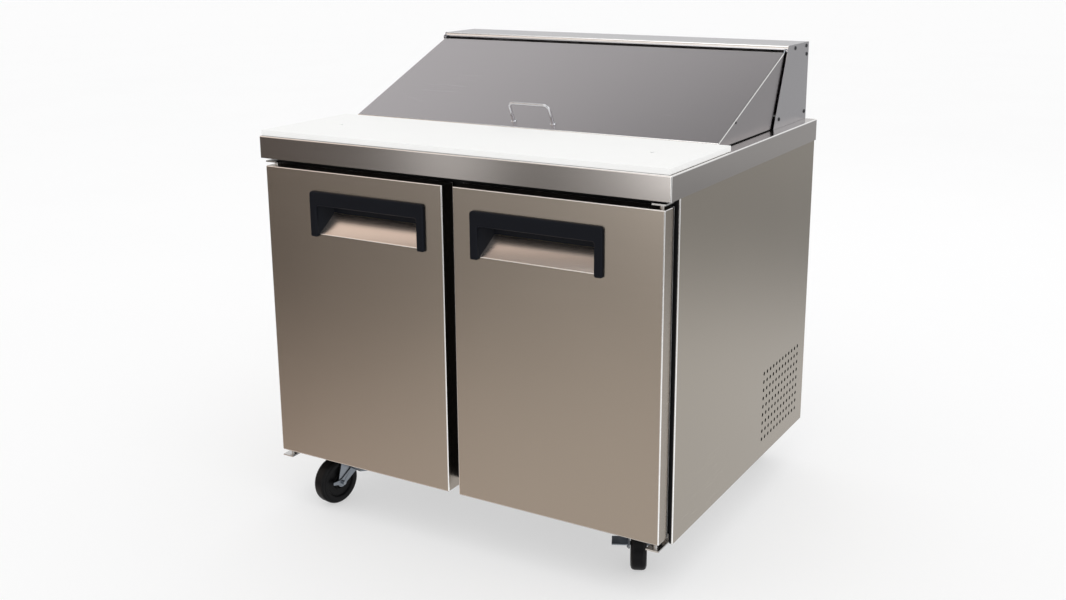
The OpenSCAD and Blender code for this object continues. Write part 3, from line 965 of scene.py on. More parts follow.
@dataclass
class Studio:
    """Floor, lights, surroundings and camera."""

    camera_at: Point = (1.3048, -2.2629, 1.1962)
    turn_deg: float = 30.42
    tilt_deg: float = -14.38
    roll_deg: float = -0.30
    lens_mm: float = 41.77
    shift: tuple[float, float] = (-0.0052, -0.0422)
    pale: Colour = (0.965, 0.967, 0.972)
    warm: Colour = (1.0, 0.93, 0.86)
    warmest: Colour = (1.0, 0.84, 0.74)
    shaded: Colour = (0.85, 0.85, 0.85)
    brightest: float = 2.0

    def build(self) -> None:
        """Makes the whole studio."""
        self._floor()
        self._surroundings()
        self._light("key", (1.2, -1.0, 3.8), (0.0, 0.0, 0.4), (3.6, 3.6), 16.0)
        self._light("rear", (-0.6, 3.2, 3.0), (0.0, 0.0, 0.6), (3.0, 1.6), 8.0)
        self._camera()

    def _floor(self) -> None:
        """The plain floor, deep enough to fill the view behind the table."""
        mesh = bmesh.new()
        corners = [(-40, -7, 0), (40, -7, 0), (40, 60, 0), (-40, 60, 0)]
        mesh.faces.new([mesh.verts.new(c) for c in corners])
        data = bpy.data.meshes.new("floor")
        mesh.to_mesh(data)
        mesh.free()
        made = bpy.data.objects.new("floor", data)
        bpy.context.scene.collection.objects.link(made)
        data.materials.append(Floor().material())
        made.visible_glossy = False

    def _surroundings(self) -> None:
        """A pale room: even light for matt surfaces, and soft panels that polished steel mirrors."""
        world = bpy.data.worlds.new("studio")
        bpy.context.scene.world = world
        graph = Graph(world)
        heading = graph.node("ShaderNodeTexCoord", output="Generated")
        across, ahead, up = (
            graph.node("ShaderNodeSeparateXYZ", inputs={0: heading}, output=i) for i in range(3)
        )
        front = graph.step(0 - ahead, 0.0, 0.3)
        slant = (0 - across) / (0.05 + graph.node("ShaderNodeMath", {"operation": "ABSOLUTE"}, {0: ahead}))
        left = graph.step(slant, 0.6, 0.95)
        drop = (left * 0.07 + 0.065) * front + (1 - front) * 0.03
        height = up + drop * (1 - graph.step(up, 0.0, 0.2))
        bands = graph.node("ShaderNodeValToRGB", {"stops": self._walls()}, {0: height * 0.5 + 0.5})
        warmth = graph.mix((1.0, 1.0, 1.0), self.warm, graph.step(slant, 0.1, 0.3) * front)
        warmth = graph.mix(warmth, self.warmest, left * front)
        warmth = graph.mix(warmth, self.shaded, (1 - front) * (1 - graph.step(up, -0.4, -0.3)))
        walls = graph.node("ShaderNodeMix", {"data_type": "RGBA", "blend_type": "MULTIPLY"},
                           {0: 1.0, 6: bands, 7: warmth}, output=2)
        glow = self._panels(graph, slant, ahead, up, front)
        brightest = (self.brightest,) * 3
        lit = graph.node(
            "ShaderNodeMix",
            {"data_type": "RGBA", "blend_type": "ADD"},
            {0: 1.0, 6: walls, 7: graph.mix((0.0, 0.0, 0.0), brightest, glow * (1 / self.brightest))},
            output=2,
        )
        mirrored = graph.node("ShaderNodeLightPath", output="Is Glossy Ray")
        colour = graph.mix(self.pale, lit, mirrored)
        back = graph.node("ShaderNodeBackground", inputs={"Color": colour, "Strength": 1.0})
        graph.close("ShaderNodeOutputWorld", back)

    @staticmethod
    def _panels(graph: Graph, slant: Socket, ahead: Socket, up: Socket, front: Socket) -> Socket:
        """Brightness that the lit panels add to the walls.

        Args:
            graph: The world's tree.
            slant: How far to the left of straight ahead a direction points.
            ahead: Its part towards the rear.
            up: Its part upwards.
            front: 1 for directions to the front of the table.

        Returns:
            The brightness.
        """
        level = graph.step(up, -0.225, -0.19) * (1 - graph.step(up, 0.0, 0.1)) * front
        strip = graph.step(slant, 0.59, 0.63) * (1 - graph.step(slant, 0.67, 0.71))
        window = (1 - graph.step(slant, 0.42, 0.56)) * graph.step(slant, -0.1, 0.1)
        panel = (1 - graph.step(slant, -1.8, -1.4)) * front * (1 - graph.step(up, 0.6, 0.8))
        ceiling = graph.step(up, 0.8, 0.88) * (1 - graph.step(ahead, 0.1, 0.3))
        rim = (1 - graph.step(slant, 0.41, 0.46)) * graph.step(slant, -0.1, 0.1)
        rear = (1 - front) * graph.step(up, -0.24, -0.16) * (1 - graph.step(up, 0.0, 0.1))
        return level * (strip * 1.0 + window * 0.7 + rim * 1.1) + panel * 1.4 + ceiling * 1.5 + rear * 0.32

    @staticmethod
    def _walls() -> list[tuple[float, Colour]]:
        """Brightness of what steel mirrors, from straight down (0) to straight up (1)."""
        levels = [(0.0, 0.38), (0.14, 0.40), (0.22, 0.82), (0.35, 0.86), (0.39, 0.42), (0.42, 0.14),
                  (0.52, 0.14), (0.55, 0.55), (0.58, 0.84), (0.70, 0.9), (0.80, 0.85), (0.84, 0.9),
                  (0.86, 0.7), (0.878, 0.18), (0.9, 0.04), (1.0, 0.5)]
        return [(place, (level, level, level)) for place, level in levels]

    def _light(self, name: str, place: Point, target: Point, size: tuple[float, float], power: float) -> None:
        """One soft panel.

        Args:
            name: The light's name.
            place: Where it stands.
            target: What it faces.
            size: Its width and height.
            power: Its power in watts.
        """
        data = bpy.data.lights.new(name, "AREA")
        data.shape, data.size, data.size_y, data.energy = "RECTANGLE", *size, power
        made = bpy.data.objects.new(name, data)
        bpy.context.scene.collection.objects.link(made)
        made.location = place
        made.visible_glossy = False
        made.rotation_euler = (Vector(target) - Vector(place)).to_track_quat("-Z", "Y").to_euler()

    def _camera(self) -> None:
        """The camera, at the three-quarter view from the front right."""
        turn, tilt, roll = (math.radians(a) for a in (self.turn_deg, self.tilt_deg, self.roll_deg))
        ahead = Vector((-math.sin(turn) * math.cos(tilt), math.cos(turn) * math.cos(tilt), math.sin(tilt)))
        level = ahead.cross(Vector((0, 0, 1))).normalized()
        upright = level.cross(ahead)
        right = level * math.cos(roll) + upright * math.sin(roll)
        up = upright * math.cos(roll) - level * math.sin(roll)
        data = bpy.data.cameras.new("camera")
        data.lens, data.sensor_width = self.lens_mm, 36.0
        data.shift_x, data.shift_y = self.shift
        made = bpy.data.objects.new("camera", data)
        bpy.context.scene.collection.objects.link(made)
        turned_to = Matrix((right, up, -ahead)).transposed().to_4x4()
        made.matrix_world = Matrix.Translation(Vector(self.camera_at)) @ turned_to
        bpy.context.scene.camera = made
        bpy.context.scene.view_settings.view_transform = "Standard"


# ---------------------------------------------------------------- cabinet


@dataclass
class Cabinet:
    """Side panels, base, back, face frame and what is inside the box."""

    bend: float = 0.0022
    gauge: float = 0.0012
    flange: float = 0.0026
    vent_radius: float = 0.0043
    # Gap behind the holes to the black sheet of painted shade.
    vent_screen_gap: float = 0.0035
    # Width of the black strip of painted shade beside each side panel's front fold.
    trim: float = 0.0042
    hem_drop: float = 0.044
    breaker_tall: float = 0.022
    vent_columns: int = 12
    vent_rows: int = 9
    vent_pitch: tuple[float, float] = (0.01935, 0.0187)
    vent_start: tuple[float, float] = (0.462, 0.0425)

    def build(self) -> None:
        """Makes the cabinet's pieces and dresses the nodes that stay."""
        self._side(Side.LEFT, vented=False)
        self._side(Side.RIGHT, vented=True)
        for node in ("back_panel", "rear_grille"):
            dress(node, BACK_STEEL, 0.0004)
        dress("base_pan", BACK_STEEL, 0.0004)
        self._breaker()
        # The face frame and mullion are black plastic; the black also stands in for the deep shade in the gaps
        # round the doors, so it is partly painted shade.
        dress("face_frame", BLACK_FRAME, 0.0012)
        dress("center_mullion", BLACK_FRAME, 0.0012)
        dress("liner", LINER_METAL, 0)
        dress("foam_walls", FOAM, 0)
        # Brighter pan steel on the hinge brackets is painted light, standing in for the highlight on their
        # edges.
        dress("hinge_brackets", PAN_STEEL, 0.0009)
        dress("caster_plates", ZINC, 0.0006)
        for node in ("wire_shelf_left", "wire_shelf_right"):
            dress(node, SHELF_WIRE, 0)
        dress("shelf_supports", SHELF_WIRE, 0.0004)

    def _breaker(self) -> None:
        """The strip that closes the insulation between the face frame and the liner's floor."""
        frame, liner, foam = Box.of("face_frame"), Box.of("liner"), Box.of("foam_walls")
        strip = Piece("breaker_strip")
        strip.block(
            (liner.low.x, frame.high.y + 0.0004, liner.low.z - self.breaker_tall),
            (liner.high.x, foam.low.y - 0.0004, liner.low.z - 0.0002),
        )
        strip.round_edges(0.0005, 2)
        strip.build("cabinet", BLACK_FRAME, "black_plastic")

    def _side(self, side: Side, vented: bool) -> None:
        """One side panel, folded round its front edge.

        Args:
            side: Which hand.
            vented: Whether it has the field of round holes.
        """
        sign, box = side.value, Box.of(f"side_panel_{side.word}")
        outer = box.high.x if sign > 0 else box.low.x
        front, rear, foot, top = box.low.y, box.high.y, box.low.z, box.high.z
        fold = outer - sign * self.flange
        hem = top - self.hem_drop
        piece = Piece(f"side_sheet_{side.word}")
        if vented:
            self._vented(piece, outer, front, rear, foot, hem, top)
        else:
            piece.face([(outer, front, foot), (outer, rear, foot), (outer, rear, top), (outer, front, top),
                        (outer, front, hem)])
        piece.face([(outer, front, foot), (outer, front, hem), (fold, front, hem), (fold, front, foot)])
        piece.face([(outer, front, foot), (fold, front, foot), (fold, rear, foot), (outer, rear, foot)])
        piece.round_edges(self.bend, 4)
        piece.thicken(self.gauge, (0, (front + rear) / 2, (foot + top) / 2))
        piece.build("cabinet", SIDE_STEEL, "brushed_steel", f"side_panel_{side.word}")
        # A black strip beside the front fold is painted shade, standing in for the dark gap between the door
        # and the panel.
        strip = Piece(f"side_trim_{side.word}")
        edges = sorted((fold - sign * self.trim, fold))
        strip.block((edges[0], front + 0.0004, foot + 0.002), (edges[1], front + 0.0024, hem))
        strip.round_edges(0.0004, 2)
        strip.build("cabinet", BLACK_FRAME, "black_plastic")

    def _vented(self, piece: Piece, x: float, front: float, rear: float, foot: float, hem: float,
                top: float) -> None:
        """The flat of the side panel, with its field of holes.

        Args:
            piece: The piece to add to.
            x: The outer face's place.
            front: The panel's front edge.
            rear: Its rear edge.
            foot: Its lower edge.
            hem: Where the front fold ends.
            top: Its upper edge.
        """
        step_y, step_z = self.vent_pitch
        first_y, first_z = front + self.vent_start[0], foot + self.vent_start[1]
        ys = [first_y + step_y * (i - 0.5) for i in range(self.vent_columns + 1)]
        zs = [first_z + step_z * (j - 0.5) for j in range(self.vent_rows + 1)]
        for i in range(self.vent_columns):
            for j in range(self.vent_rows):
                centre = (first_y + step_y * i, first_z + step_z * j)
                holed_cell(piece, lambda y, z: (x, y, z), (ys[i], zs[j]), (ys[i + 1], zs[j + 1]), centre,
                           self.vent_radius)
        # A black sheet behind the holes is painted shade, standing in for the dark inside seen through them.
        shade_sheet = Piece("vent_screen")
        inner = x - self.vent_screen_gap
        shade_sheet.block((inner - 0.0015, ys[0], zs[0]), (inner, ys[-1], zs[-1]))
        shade_sheet.round_edges(0.0004, 2)
        shade_sheet.build("cabinet", BLACK_FRAME, "black_plastic")
        low_row = [(x, y, zs[0]) for y in ys]
        high_row = [(x, y, zs[-1]) for y in ys]
        near = [(x, ys[0], z) for z in zs]
        far = [(x, ys[-1], z) for z in zs]
        piece.face([(x, front, foot), (x, rear, foot), *reversed(low_row)])
        piece.face([(x, front, top), (x, front, hem), (x, front, foot), *near])
        piece.face([(x, front, top), *high_row, (x, rear, top)])
        piece.face([(x, rear, foot), (x, rear, top), *reversed(far)])


@dataclass
class Worktop:
    """Folded worktop, its well for the pans, and the cutting board."""

    bend: float = 0.0026
    gauge: float = 0.0012
    well_wall: float = 0.012
    pin_clear: float = 0.0002
    pin_x: float = 0.359
    pin_hole: float = 0.0042
    pin_cell: float = 0.012
    board_round: float = 0.0016

    def build(self) -> None:
        """Makes the worktop and dresses the well, the bar and the board."""
        edge, well, board = Box.of("worktop"), Box.of("rail_well"), Box.of("cutting_board")
        top = board.low.z - self.pin_clear
        x0, x1, y0, y1 = edge.low.x, edge.high.x, edge.low.y, edge.high.y
        foot = edge.low.z
        xs = [x0, well.low.x + self.well_wall, well.high.x - self.well_wall, x1]
        ys = [y0, well.low.y + self.well_wall, well.high.y - self.well_wall, y1]
        sheet = Piece("worktop_sheet")
        for i in range(3):
            for j in range(3):
                if (i, j) != (1, 1):
                    sheet.face([(xs[i], ys[j], top), (xs[i + 1], ys[j], top), (xs[i + 1], ys[j + 1], top),
                                (xs[i], ys[j + 1], top)])
        rim = ([(x, y0) for x in xs[:3]] + [(x1, y) for y in ys[:3]] + [(x, y1) for x in reversed(xs[1:])]
               + [(x0, y) for y in reversed(ys[1:])])
        for near, far in zip(rim, rim[1:] + rim[:1]):
            sheet.face([(*near, top), (*near, foot), (*far, foot), (*far, top)])
        sheet.round_edges(self.bend, 4)
        sheet.thicken(self.gauge, (0, 0, foot))
        sheet.build("cabinet", EDGE_STEEL, "brushed_steel", "worktop")
        pins = Piece("board_pins")
        radius, tall = 0.004, edge.high.z - top
        for sign in (-1, 1):
            turned(pins, (sign * self.pin_x, board.middle.y, top), Vector((0, 0, 1)),
                   [(0, radius), (tall - 0.0012, radius), (tall - 0.0004, radius - 0.0005),
                    (tall, radius - 0.0016)], 28)
        pins.build("cabinet", ZINC, "plain_steel")
        dress("rail_well", LINER_METAL, 0.0006)
        dress("pan_divider_bar", PAN_STEEL, 0.0012)
        self._board(board)

    def _board(self, box: Box) -> None:
        """The cutting board, with softened edges and a hole for each pin.

        Args:
            box: The board's box.
        """
        x, y, reach = self.pin_x, box.middle.y, self.pin_cell
        xs = [box.low.x, -x - reach, -x + reach, x - reach, x + reach, box.high.x]
        ys = [box.low.y, y - reach, y + reach, box.high.y]
        board = Piece("white_cutting_board")
        rims = {}
        for z in (box.low.z, box.high.z):
            for i in range(5):
                for j in range(3):
                    low, high = (xs[i], ys[j]), (xs[i + 1], ys[j + 1])
                    if i in (1, 3) and j == 1:
                        middle = ((low[0] + high[0]) / 2, y)
                        rims[z, i] = holed_cell(board, lambda u, v: (u, v, z), low, high, middle,
                                                self.pin_hole, 24)
                    else:
                        board.face([(low[0], low[1], z), (high[0], low[1], z), (high[0], high[1], z),
                                    (low[0], high[1], z)])
        for i in (1, 3):
            board.loft([rims[box.low.z, i], rims[box.high.z, i]])
        rim = ([(u, ys[0]) for u in xs[:5]] + [(xs[5], v) for v in ys[:3]]
               + [(u, ys[3]) for u in reversed(xs[1:])] + [(xs[0], v) for v in reversed(ys[1:])])
        board.loft([[(u, v, box.low.z) for u, v in rim], [(u, v, box.high.z) for u, v in rim]])
        board.round_edges(self.board_round, 4, 60.0)
        board.build("board", BOARD, "board_white", "cutting_board")


@dataclass
class FoodPans:
    """Eight pressed pans with rolled rims and round corners."""

    across: int = 4
    wide: float = 0.176
    gap: float = 0.001
    gauge: float = 0.0008
    rim: float = 0.012
    corner: float = 0.016
    steps: int = 6

    def build(self) -> None:
        """Makes both rows."""
        for row in ("front", "rear"):
            box = Box.of(f"food_pans_{row}")
            piece = Piece(f"pans_{row}")
            for i in range(self.across):
                centre = box.middle.x + (i - (self.across - 1) / 2) * (self.wide + self.gap)
                self._pan(piece, centre, box)
            piece.thicken(self.gauge, (0, box.middle.y, box.high.z + 10))
            piece.build("cabinet", PAN_STEEL, "pan_steel", f"food_pans_{row}")

    def _loop(self, x: float, y: float, half_x: float, half_y: float, corner: float, z: float) -> list[Point]:
        """A level loop with round corners.

        Args:
            x: Its middle.
            y: Its middle.
            half_x: Half its width.
            half_y: Half its length.
            corner: Its corners' radius.
            z: Its height.

        Returns:
            The loop's points.
        """
        corners = [(x + half_x, y + half_y), (x - half_x, y + half_y), (x - half_x, y - half_y),
                   (x + half_x, y - half_y)]
        return [(u, v, z) for u, v in rounded(corners, [corner] * 4, self.steps)]

    def _pan(self, piece: Piece, x: float, box: Box) -> None:
        """One pan, as loops from the rim's edge down to the bottom.

        Args:
            piece: The piece to add to.
            x: The pan's middle.
            box: The row's box.
        """
        y, half_x, half_y = box.middle.y, self.wide / 2, box.size.y / 2
        top, floor = box.high.z, box.low.z + self.gauge
        steps = [
            (0.0003, 0.014, top - 0.0024), (0.0, 0.014, top - 0.0012), (0.0008, 0.014, top - 0.0002),
            (0.0022, 0.013, top), (self.rim - 0.0035, 0.016, top - 0.0001),
            (self.rim - 0.0008, 0.0165, top - 0.001), (self.rim + 0.0004, 0.017, top - 0.004),
            (self.rim + 0.0012, 0.0175, top - 0.03), (self.rim + 0.0024, 0.018, floor + 0.012),
            (self.rim + 0.0048, 0.017, floor + 0.004), (self.rim + 0.0098, 0.014, floor + 0.0006),
            (self.rim + 0.016, 0.010, floor),
        ]
        piece.known.clear()
        loops = [self._loop(x, y, half_x - s, half_y - s, c, z) for s, c, z in steps]
        piece.loft(loops)
        piece.face(loops[-1])
        piece.known.clear()


# ---------------------------------------------------------------- lid and hood


@dataclass
class Lid:
    """Sloping pan lid with its wire handle."""

    slope_deg: float = 22.39
    hem: float = 0.009
    half: float = 0.430
    end_foot: float = 0.2795
    hollow: float = 0.05
    bend: float = 0.0026
    gauge: float = 0.0012
    eye_radius: float = 0.0041
    rivet_at: tuple[float, float] = (0.085, 0.0295)
    rivet_radius: float = 0.0027
    rod: float = 0.0032
    handle_half: float = 0.047
    handle_at: float = 0.012
    handle_reach: float = 0.045
    handle_up: float = 0.024
    handle_lean_deg: float = 5.0
    handle_corner: float = 0.011

    def build(self) -> None:
        """Makes the lid's shell and handle, and dresses the rest."""
        cover, end = Box.of("lid_cover"), Box.of("lid_end_right")
        slope = math.radians(self.slope_deg)
        hem_foot = (cover.low.y, cover.low.z)
        hem_top = (cover.low.y, cover.low.z + self.hem)
        rise = cover.high.z - hem_top[1]
        tip = (hem_top[0] + rise / math.tan(slope), cover.high.z)
        rear = (cover.high.y, tip[1] - (cover.high.y - tip[0]) / math.tan(slope))
        foot = (end.low.y + self.end_foot, hem_foot[1])
        outline = [hem_foot, hem_top, tip, rear, foot]
        shell = Piece("lid_shell")
        for x in (-self.half, self.half):
            shell.face([(x, *p) for p in outline])
        for near, far in zip(outline[:3], outline[1:4]):
            shell.face([(-self.half, *near), (self.half, *near), (self.half, *far), (-self.half, *far)])
        shell.round_edges(self.bend, 4)
        shell.thicken(self.gauge, (0, cover.middle.y + self.hollow, cover.low.z))
        shell.build("lid", LID_STEEL, "brushed_steel", "lid_cover", "lid_end_left", "lid_end_right")
        self._rivets(hem_top)
        self._eyes(rear, tip)
        self._handle(hem_top, slope)
        dress("lid_liner", LINER_METAL, 0.0004)
        dress("lid_gasket", SEAL, 0.0012)

    def _rivets(self, hem_top: tuple[float, float]) -> None:
        """The rivet near the front of each end.

        Args:
            hem_top: Lower edge of the sloping face.
        """
        piece, r = Piece("lid_rivets"), self.rivet_radius
        for side in Side:
            at = Vector((side.value * self.half, hem_top[0] + self.rivet_at[0],
                         hem_top[1] + self.rivet_at[1]))
            turned(piece, at, Vector((side.value, 0, 0)),
                   [(0, r), (0.0005, r), (0.0010, 0.8 * r), (0.0013, 0.4 * r), (0.0014, 0.1 * r)], 24)
        piece.build("lid", DARK_SCREW, "zinc")

    def _eyes(self, rear: tuple[float, float], tip: tuple[float, float]) -> None:
        """The arms that carry the lid on its pins.

        Args:
            rear: Lower edge of the lid's rear fold.
            tip: Top edge of the lid.
        """
        pivot = self._pivot()
        piece = Piece("lid_eyes")
        arm = [(tip[0] - 0.004, tip[1] - 0.006), (tip[0] + 0.0012, tip[1] - 0.0012),
               (pivot.y - 0.003, pivot.z + 0.0026), (pivot.y - 0.0006, pivot.z - 0.004),
               (rear[0], rear[1] + 0.002)]
        for sign in (-1, 1):
            near, far = sign * (self.half - 0.0028), sign * (self.half - 0.0003)
            piece.known.clear()
            piece.extrude(arm, along_x, near, far)
            turned(piece, (near, pivot.y, pivot.z), Vector((sign, 0, 0)),
                   [(0, self.eye_radius), (abs(far - near), self.eye_radius)], 32)
        piece.build("lid", ZINC, "plain_steel")

    def _pivot(self) -> Vector:
        """Where the lid's hinge turns, from the frame."""
        joint = next(j for j in frame["joints"] if j["name"] == "lid_hinge")
        return Vector(joint["pos_m"])

    def _handle(self, hem_top: tuple[float, float], slope: float) -> None:
        """The bent wire handle and its two feet.

        Args:
            hem_top: Lower edge of the sloping face.
            slope: The face's angle, in radians.
        """
        up = Vector((0, math.cos(slope), math.sin(slope)))
        foot = Vector((self.handle_at, *hem_top)) + up * self.handle_up
        lean = slope + math.radians(self.handle_lean_deg)
        out = Vector((0, -math.sin(lean), math.cos(lean)))
        along = Vector((1, 0, 0))
        corners = [(-self.handle_half, 0.0006), (-self.handle_half, self.handle_reach),
                   (self.handle_half, self.handle_reach), (self.handle_half, 0.0006)]
        line = rounded(corners, [0, self.handle_corner, self.handle_corner, 0], 8)
        piece = Piece("lid_wire_handle")
        wire(piece, [foot + along * u + out * v for u, v in line], self.rod, 16)
        for sign in (-1, 1):
            turned(piece, foot + along * (sign * self.handle_half) + out * 0.0004, out,
                   [(0, 0.0062), (0.0008, 0.0062), (0.0016, 0.0052), (0.0022, 0.0036)], 28)
        piece.build("lid", CHROME, "chrome_rod", "lid_handle")


@dataclass
class Hood:
    """Rear hood with its lip, end plates and screws; the lip's wide rounding carries the painted fold
    highlight.
    """

    bend: float = 0.0024
    lip_bend: float = 0.0065
    gauge: float = 0.0012
    lip: float = 0.009
    screw_radius: float = 0.0042
    screw_spots: Sequence[tuple[float, float]] = (
        (0.114, -0.008), (0.186, -0.008), (0.190, -0.026), (0.190, -0.151), (0.029, -0.149))

    def build(self) -> None:
        """Makes the cover and the screws, and dresses the end plates."""
        cover, end = Box.of("hood_cover"), Box.of("hood_end_right")
        front, rear, top, foot = cover.low.y, cover.high.y, cover.high.z, cover.low.z
        outline = [(front, top - self.lip), (front, top), (rear, top), (rear, foot)]
        sheet = Piece("hood_sheet")
        for near, far in zip(outline, outline[1:]):
            sheet.face([(cover.low.x, *near), (cover.high.x, *near), (cover.high.x, *far),
                        (cover.low.x, *far)])
        # The lip's wide rounding gets the near-white painted fold highlight.
        sheet.round_edges(self.lip_bend, 8, chosen=lambda e: all(v.co.y < front + 1e-5 for v in e.verts))
        sheet.round_edges(self.bend, 4, 60.0)
        sheet.thicken(self.gauge, (0, cover.middle.y, foot))
        sheet.build("cabinet", HOOD_STEEL, "brushed_steel", "hood_cover")
        for side in Side:
            dress(f"hood_end_{side.word}", HOOD_STEEL, 0.0005)
        screws = Piece("hood_screw_heads")
        for side in Side:
            face = end.high.x if side is Side.RIGHT else -end.high.x
            for y, z in self.screw_spots:
                self._screw(screws, Vector((face, end.low.y + y, top + z)), side.value)
        screws.build("cabinet", DARK_SCREW, "black_plastic", "hood_screws")

    def _screw(self, piece: Piece, at: Vector, sign: int) -> None:
        """A pan head with a cross recess.

        Args:
            piece: The piece to add to.
            at: Where the head sits.
            sign: Which way it faces along X.
        """
        axis, r = Vector((sign, 0, 0)), self.screw_radius
        turned(piece, at, axis, [(0, r), (0.0007, r), (0.0014, 0.9 * r), (0.0019, 0.65 * r),
                                 (0.0021, 0.45 * r), (0.0012, 0.3 * r)], 28)


# ---------------------------------------------------------------- doors


@dataclass
class Door:
    """One door: folded skin, liner, gasket, handle frame and hand scoop."""

    side: Side
    bend: float = 0.0022
    gauge: float = 0.0012
    handle_inset: float = 0.005
    leg: float = 0.017
    bar_tall: float = 0.029
    proud: float = 0.0069
    recess: float = 0.030
    cheek_run: float = 0.016
    scoop_rise: float = 0.041
    gasket_bar: float = 0.014

    def build(self) -> None:
        """Makes the door's pieces."""
        self.body = f"{self.side.word}_door"
        self.box = Box.of(f"{self.body}_skin")
        self.frame_box = Box.of(f"{self.side.word}_handle_frame")
        self._skin()
        self._liner()
        self._gasket()
        self._handle()
        self._scoop()
        dress(f"{self.body}_foam", FOAM, 0)

    def _skin(self) -> None:
        """The folded front, with its opening for the handle."""
        low, high, inset = self.box.low, self.box.high, self.handle_inset
        xs = [low.x, self.frame_box.low.x + inset, self.frame_box.high.x - inset, high.x]
        zs = [low.z, self.frame_box.low.z + 0.004, self.frame_box.high.z - inset, high.z]
        front, back = low.y, high.y
        skin = Piece(f"{self.body}_sheet")
        for i in range(3):
            for j in range(3):
                if (i, j) != (1, 1):
                    skin.face([(xs[i], front, zs[j]), (xs[i + 1], front, zs[j]),
                               (xs[i + 1], front, zs[j + 1]), (xs[i], front, zs[j + 1])])
        rim = ([(x, zs[0]) for x in xs[:3]] + [(xs[3], z) for z in zs[:3]]
               + [(x, zs[3]) for x in reversed(xs[1:])] + [(xs[0], z) for z in reversed(zs[1:])])
        for near, far in zip(rim, rim[1:] + rim[:1]):
            skin.face([(near[0], front, near[1]), (near[0], back, near[1]), (far[0], back, far[1]),
                       (far[0], front, far[1])])
        skin.round_edges(self.bend, 4)
        skin.thicken(self.gauge, (self.box.middle.x, back + 0.3, self.box.middle.z))
        skin.build(self.body, DOOR_STEEL, "brushed_steel", f"{self.body}_skin")

    def _liner(self) -> None:
        """The pressed inner panel, with a raised field inside the gasket."""
        box = Box.of(f"{self.body}_liner")
        y0, y1 = box.low.y, box.high.y
        levels = [(0.0, y0), (0.0, y1), (0.030, y1), (0.034, y1 + 0.0012), (0.040, y1 + 0.0058),
                  (0.046, y1 + 0.007), (0.090, y1 + 0.007), (0.094, y1 + 0.0058), (0.100, y1 + 0.0035),
                  (0.106, y1 + 0.0025)]
        loops = []
        for inset, y in levels:
            x0, x1, z0, z1 = box.low.x + inset, box.high.x - inset, box.low.z + inset, box.high.z - inset
            corner = max(0.0008, min(0.012, inset * 0.3))
            bounds = rounded([(x0, z0), (x1, z0), (x1, z1), (x0, z1)], [corner] * 4, 4)
            loops.append([(u, y, v) for u, v in bounds])
        liner = Piece(f"{self.body}_inner_panel")
        liner.loft(loops, caps=True)
        liner.build(self.body, LINER_METAL, "liner_metal", f"{self.body}_liner")

    def _gasket(self) -> None:
        """The soft seal, with a pleat and a rounded lip, mitred at its corners."""
        box = Box.of(f"{self.body}_gasket")
        wide, tall = self.gasket_bar, box.size.y
        section = [(0, 0), (1, 0), (1, 0.18), (0.84, 0.25), (0.76, 0.37), (0.9, 0.5), (0.97, 0.64),
                   (0.95, 0.92), (0.86, 1), (0.16, 1), (0.07, 0.92), (0.05, 0.64), (0.12, 0.5),
                   (0.26, 0.37), (0.18, 0.25), (0, 0.18)]
        corners = [(box.low.x, box.low.z, 1, 1), (box.high.x, box.low.z, -1, 1),
                   (box.high.x, box.high.z, -1, -1), (box.low.x, box.high.z, 1, -1)]
        loops = [[(x + sx * u * wide, box.low.y + v * tall, z + sz * u * wide) for u, v in section]
                 for x, z, sx, sz in corners]
        seal = Piece(f"{self.body}_seal")
        seal.loft(loops + loops[:1])
        seal.round_edges(0.0004, 2, 20.0)
        seal.build(self.body, SEAL, "seal_rubber", f"{self.body}_gasket")

    def _handle(self) -> None:
        """The black frame round the hand recess, with its cheeks and ceiling."""
        box = self.frame_box
        x0, x1, z0, z1 = box.low.x, box.high.x, box.low.z, box.high.z
        y0, y1 = box.low.y, box.low.y + self.proud
        bar = z1 - self.bar_tall
        outline = rounded(
            [(x0, z0), (x0 + self.leg, z0), (x0 + self.leg, bar), (x1 - self.leg, bar), (x1 - self.leg, z0),
             (x1, z0), (x1, z1), (x0, z1)],
            [0.0035, 0.0035, 0.004, 0.004, 0.0035, 0.0035, 0.007, 0.007], 6)
        handle = Piece(f"{self.side.word}_handle_moulding")
        handle.extrude(outline, along_y, y0, y1)
        handle.round_edges(0.0026, 4, 60.0, lambda e: all(abs(v.co.y - y0) < 1e-6 for v in e.verts))
        # Hand recess behind the frame
        left, right, run = x0 + self.leg, x1 - self.leg, self.cheek_run
        foot, roof, back = z0 + 0.0042, z0 + 0.079, box.high.y - 0.002
        rise = foot + self.scoop_rise
        slab = 0.002
        for inner, sign in ((left, 1), (right, -1)):
            handle.extrude([(inner - sign * slab, y1 - 0.001), (inner, y1 - 0.001), (inner + sign * run, back),
                            (inner + sign * run - sign * slab, back)], along_z, foot, roof)
        handle.extrude([(left - slab, y1 - 0.001), (right + slab, y1 - 0.001), (right - run + slab, back),
                        (left + run - slab, back)], along_z, roof, roof + slab)
        handle.extrude([(left + run - slab, rise), (right - run + slab, rise), (right - run + slab, roof),
                        (left + run - slab, roof)], along_y, back, back + slab)
        handle.build(self.body, BLACK_MOULDING, "black_plastic", f"{self.side.word}_handle_frame")

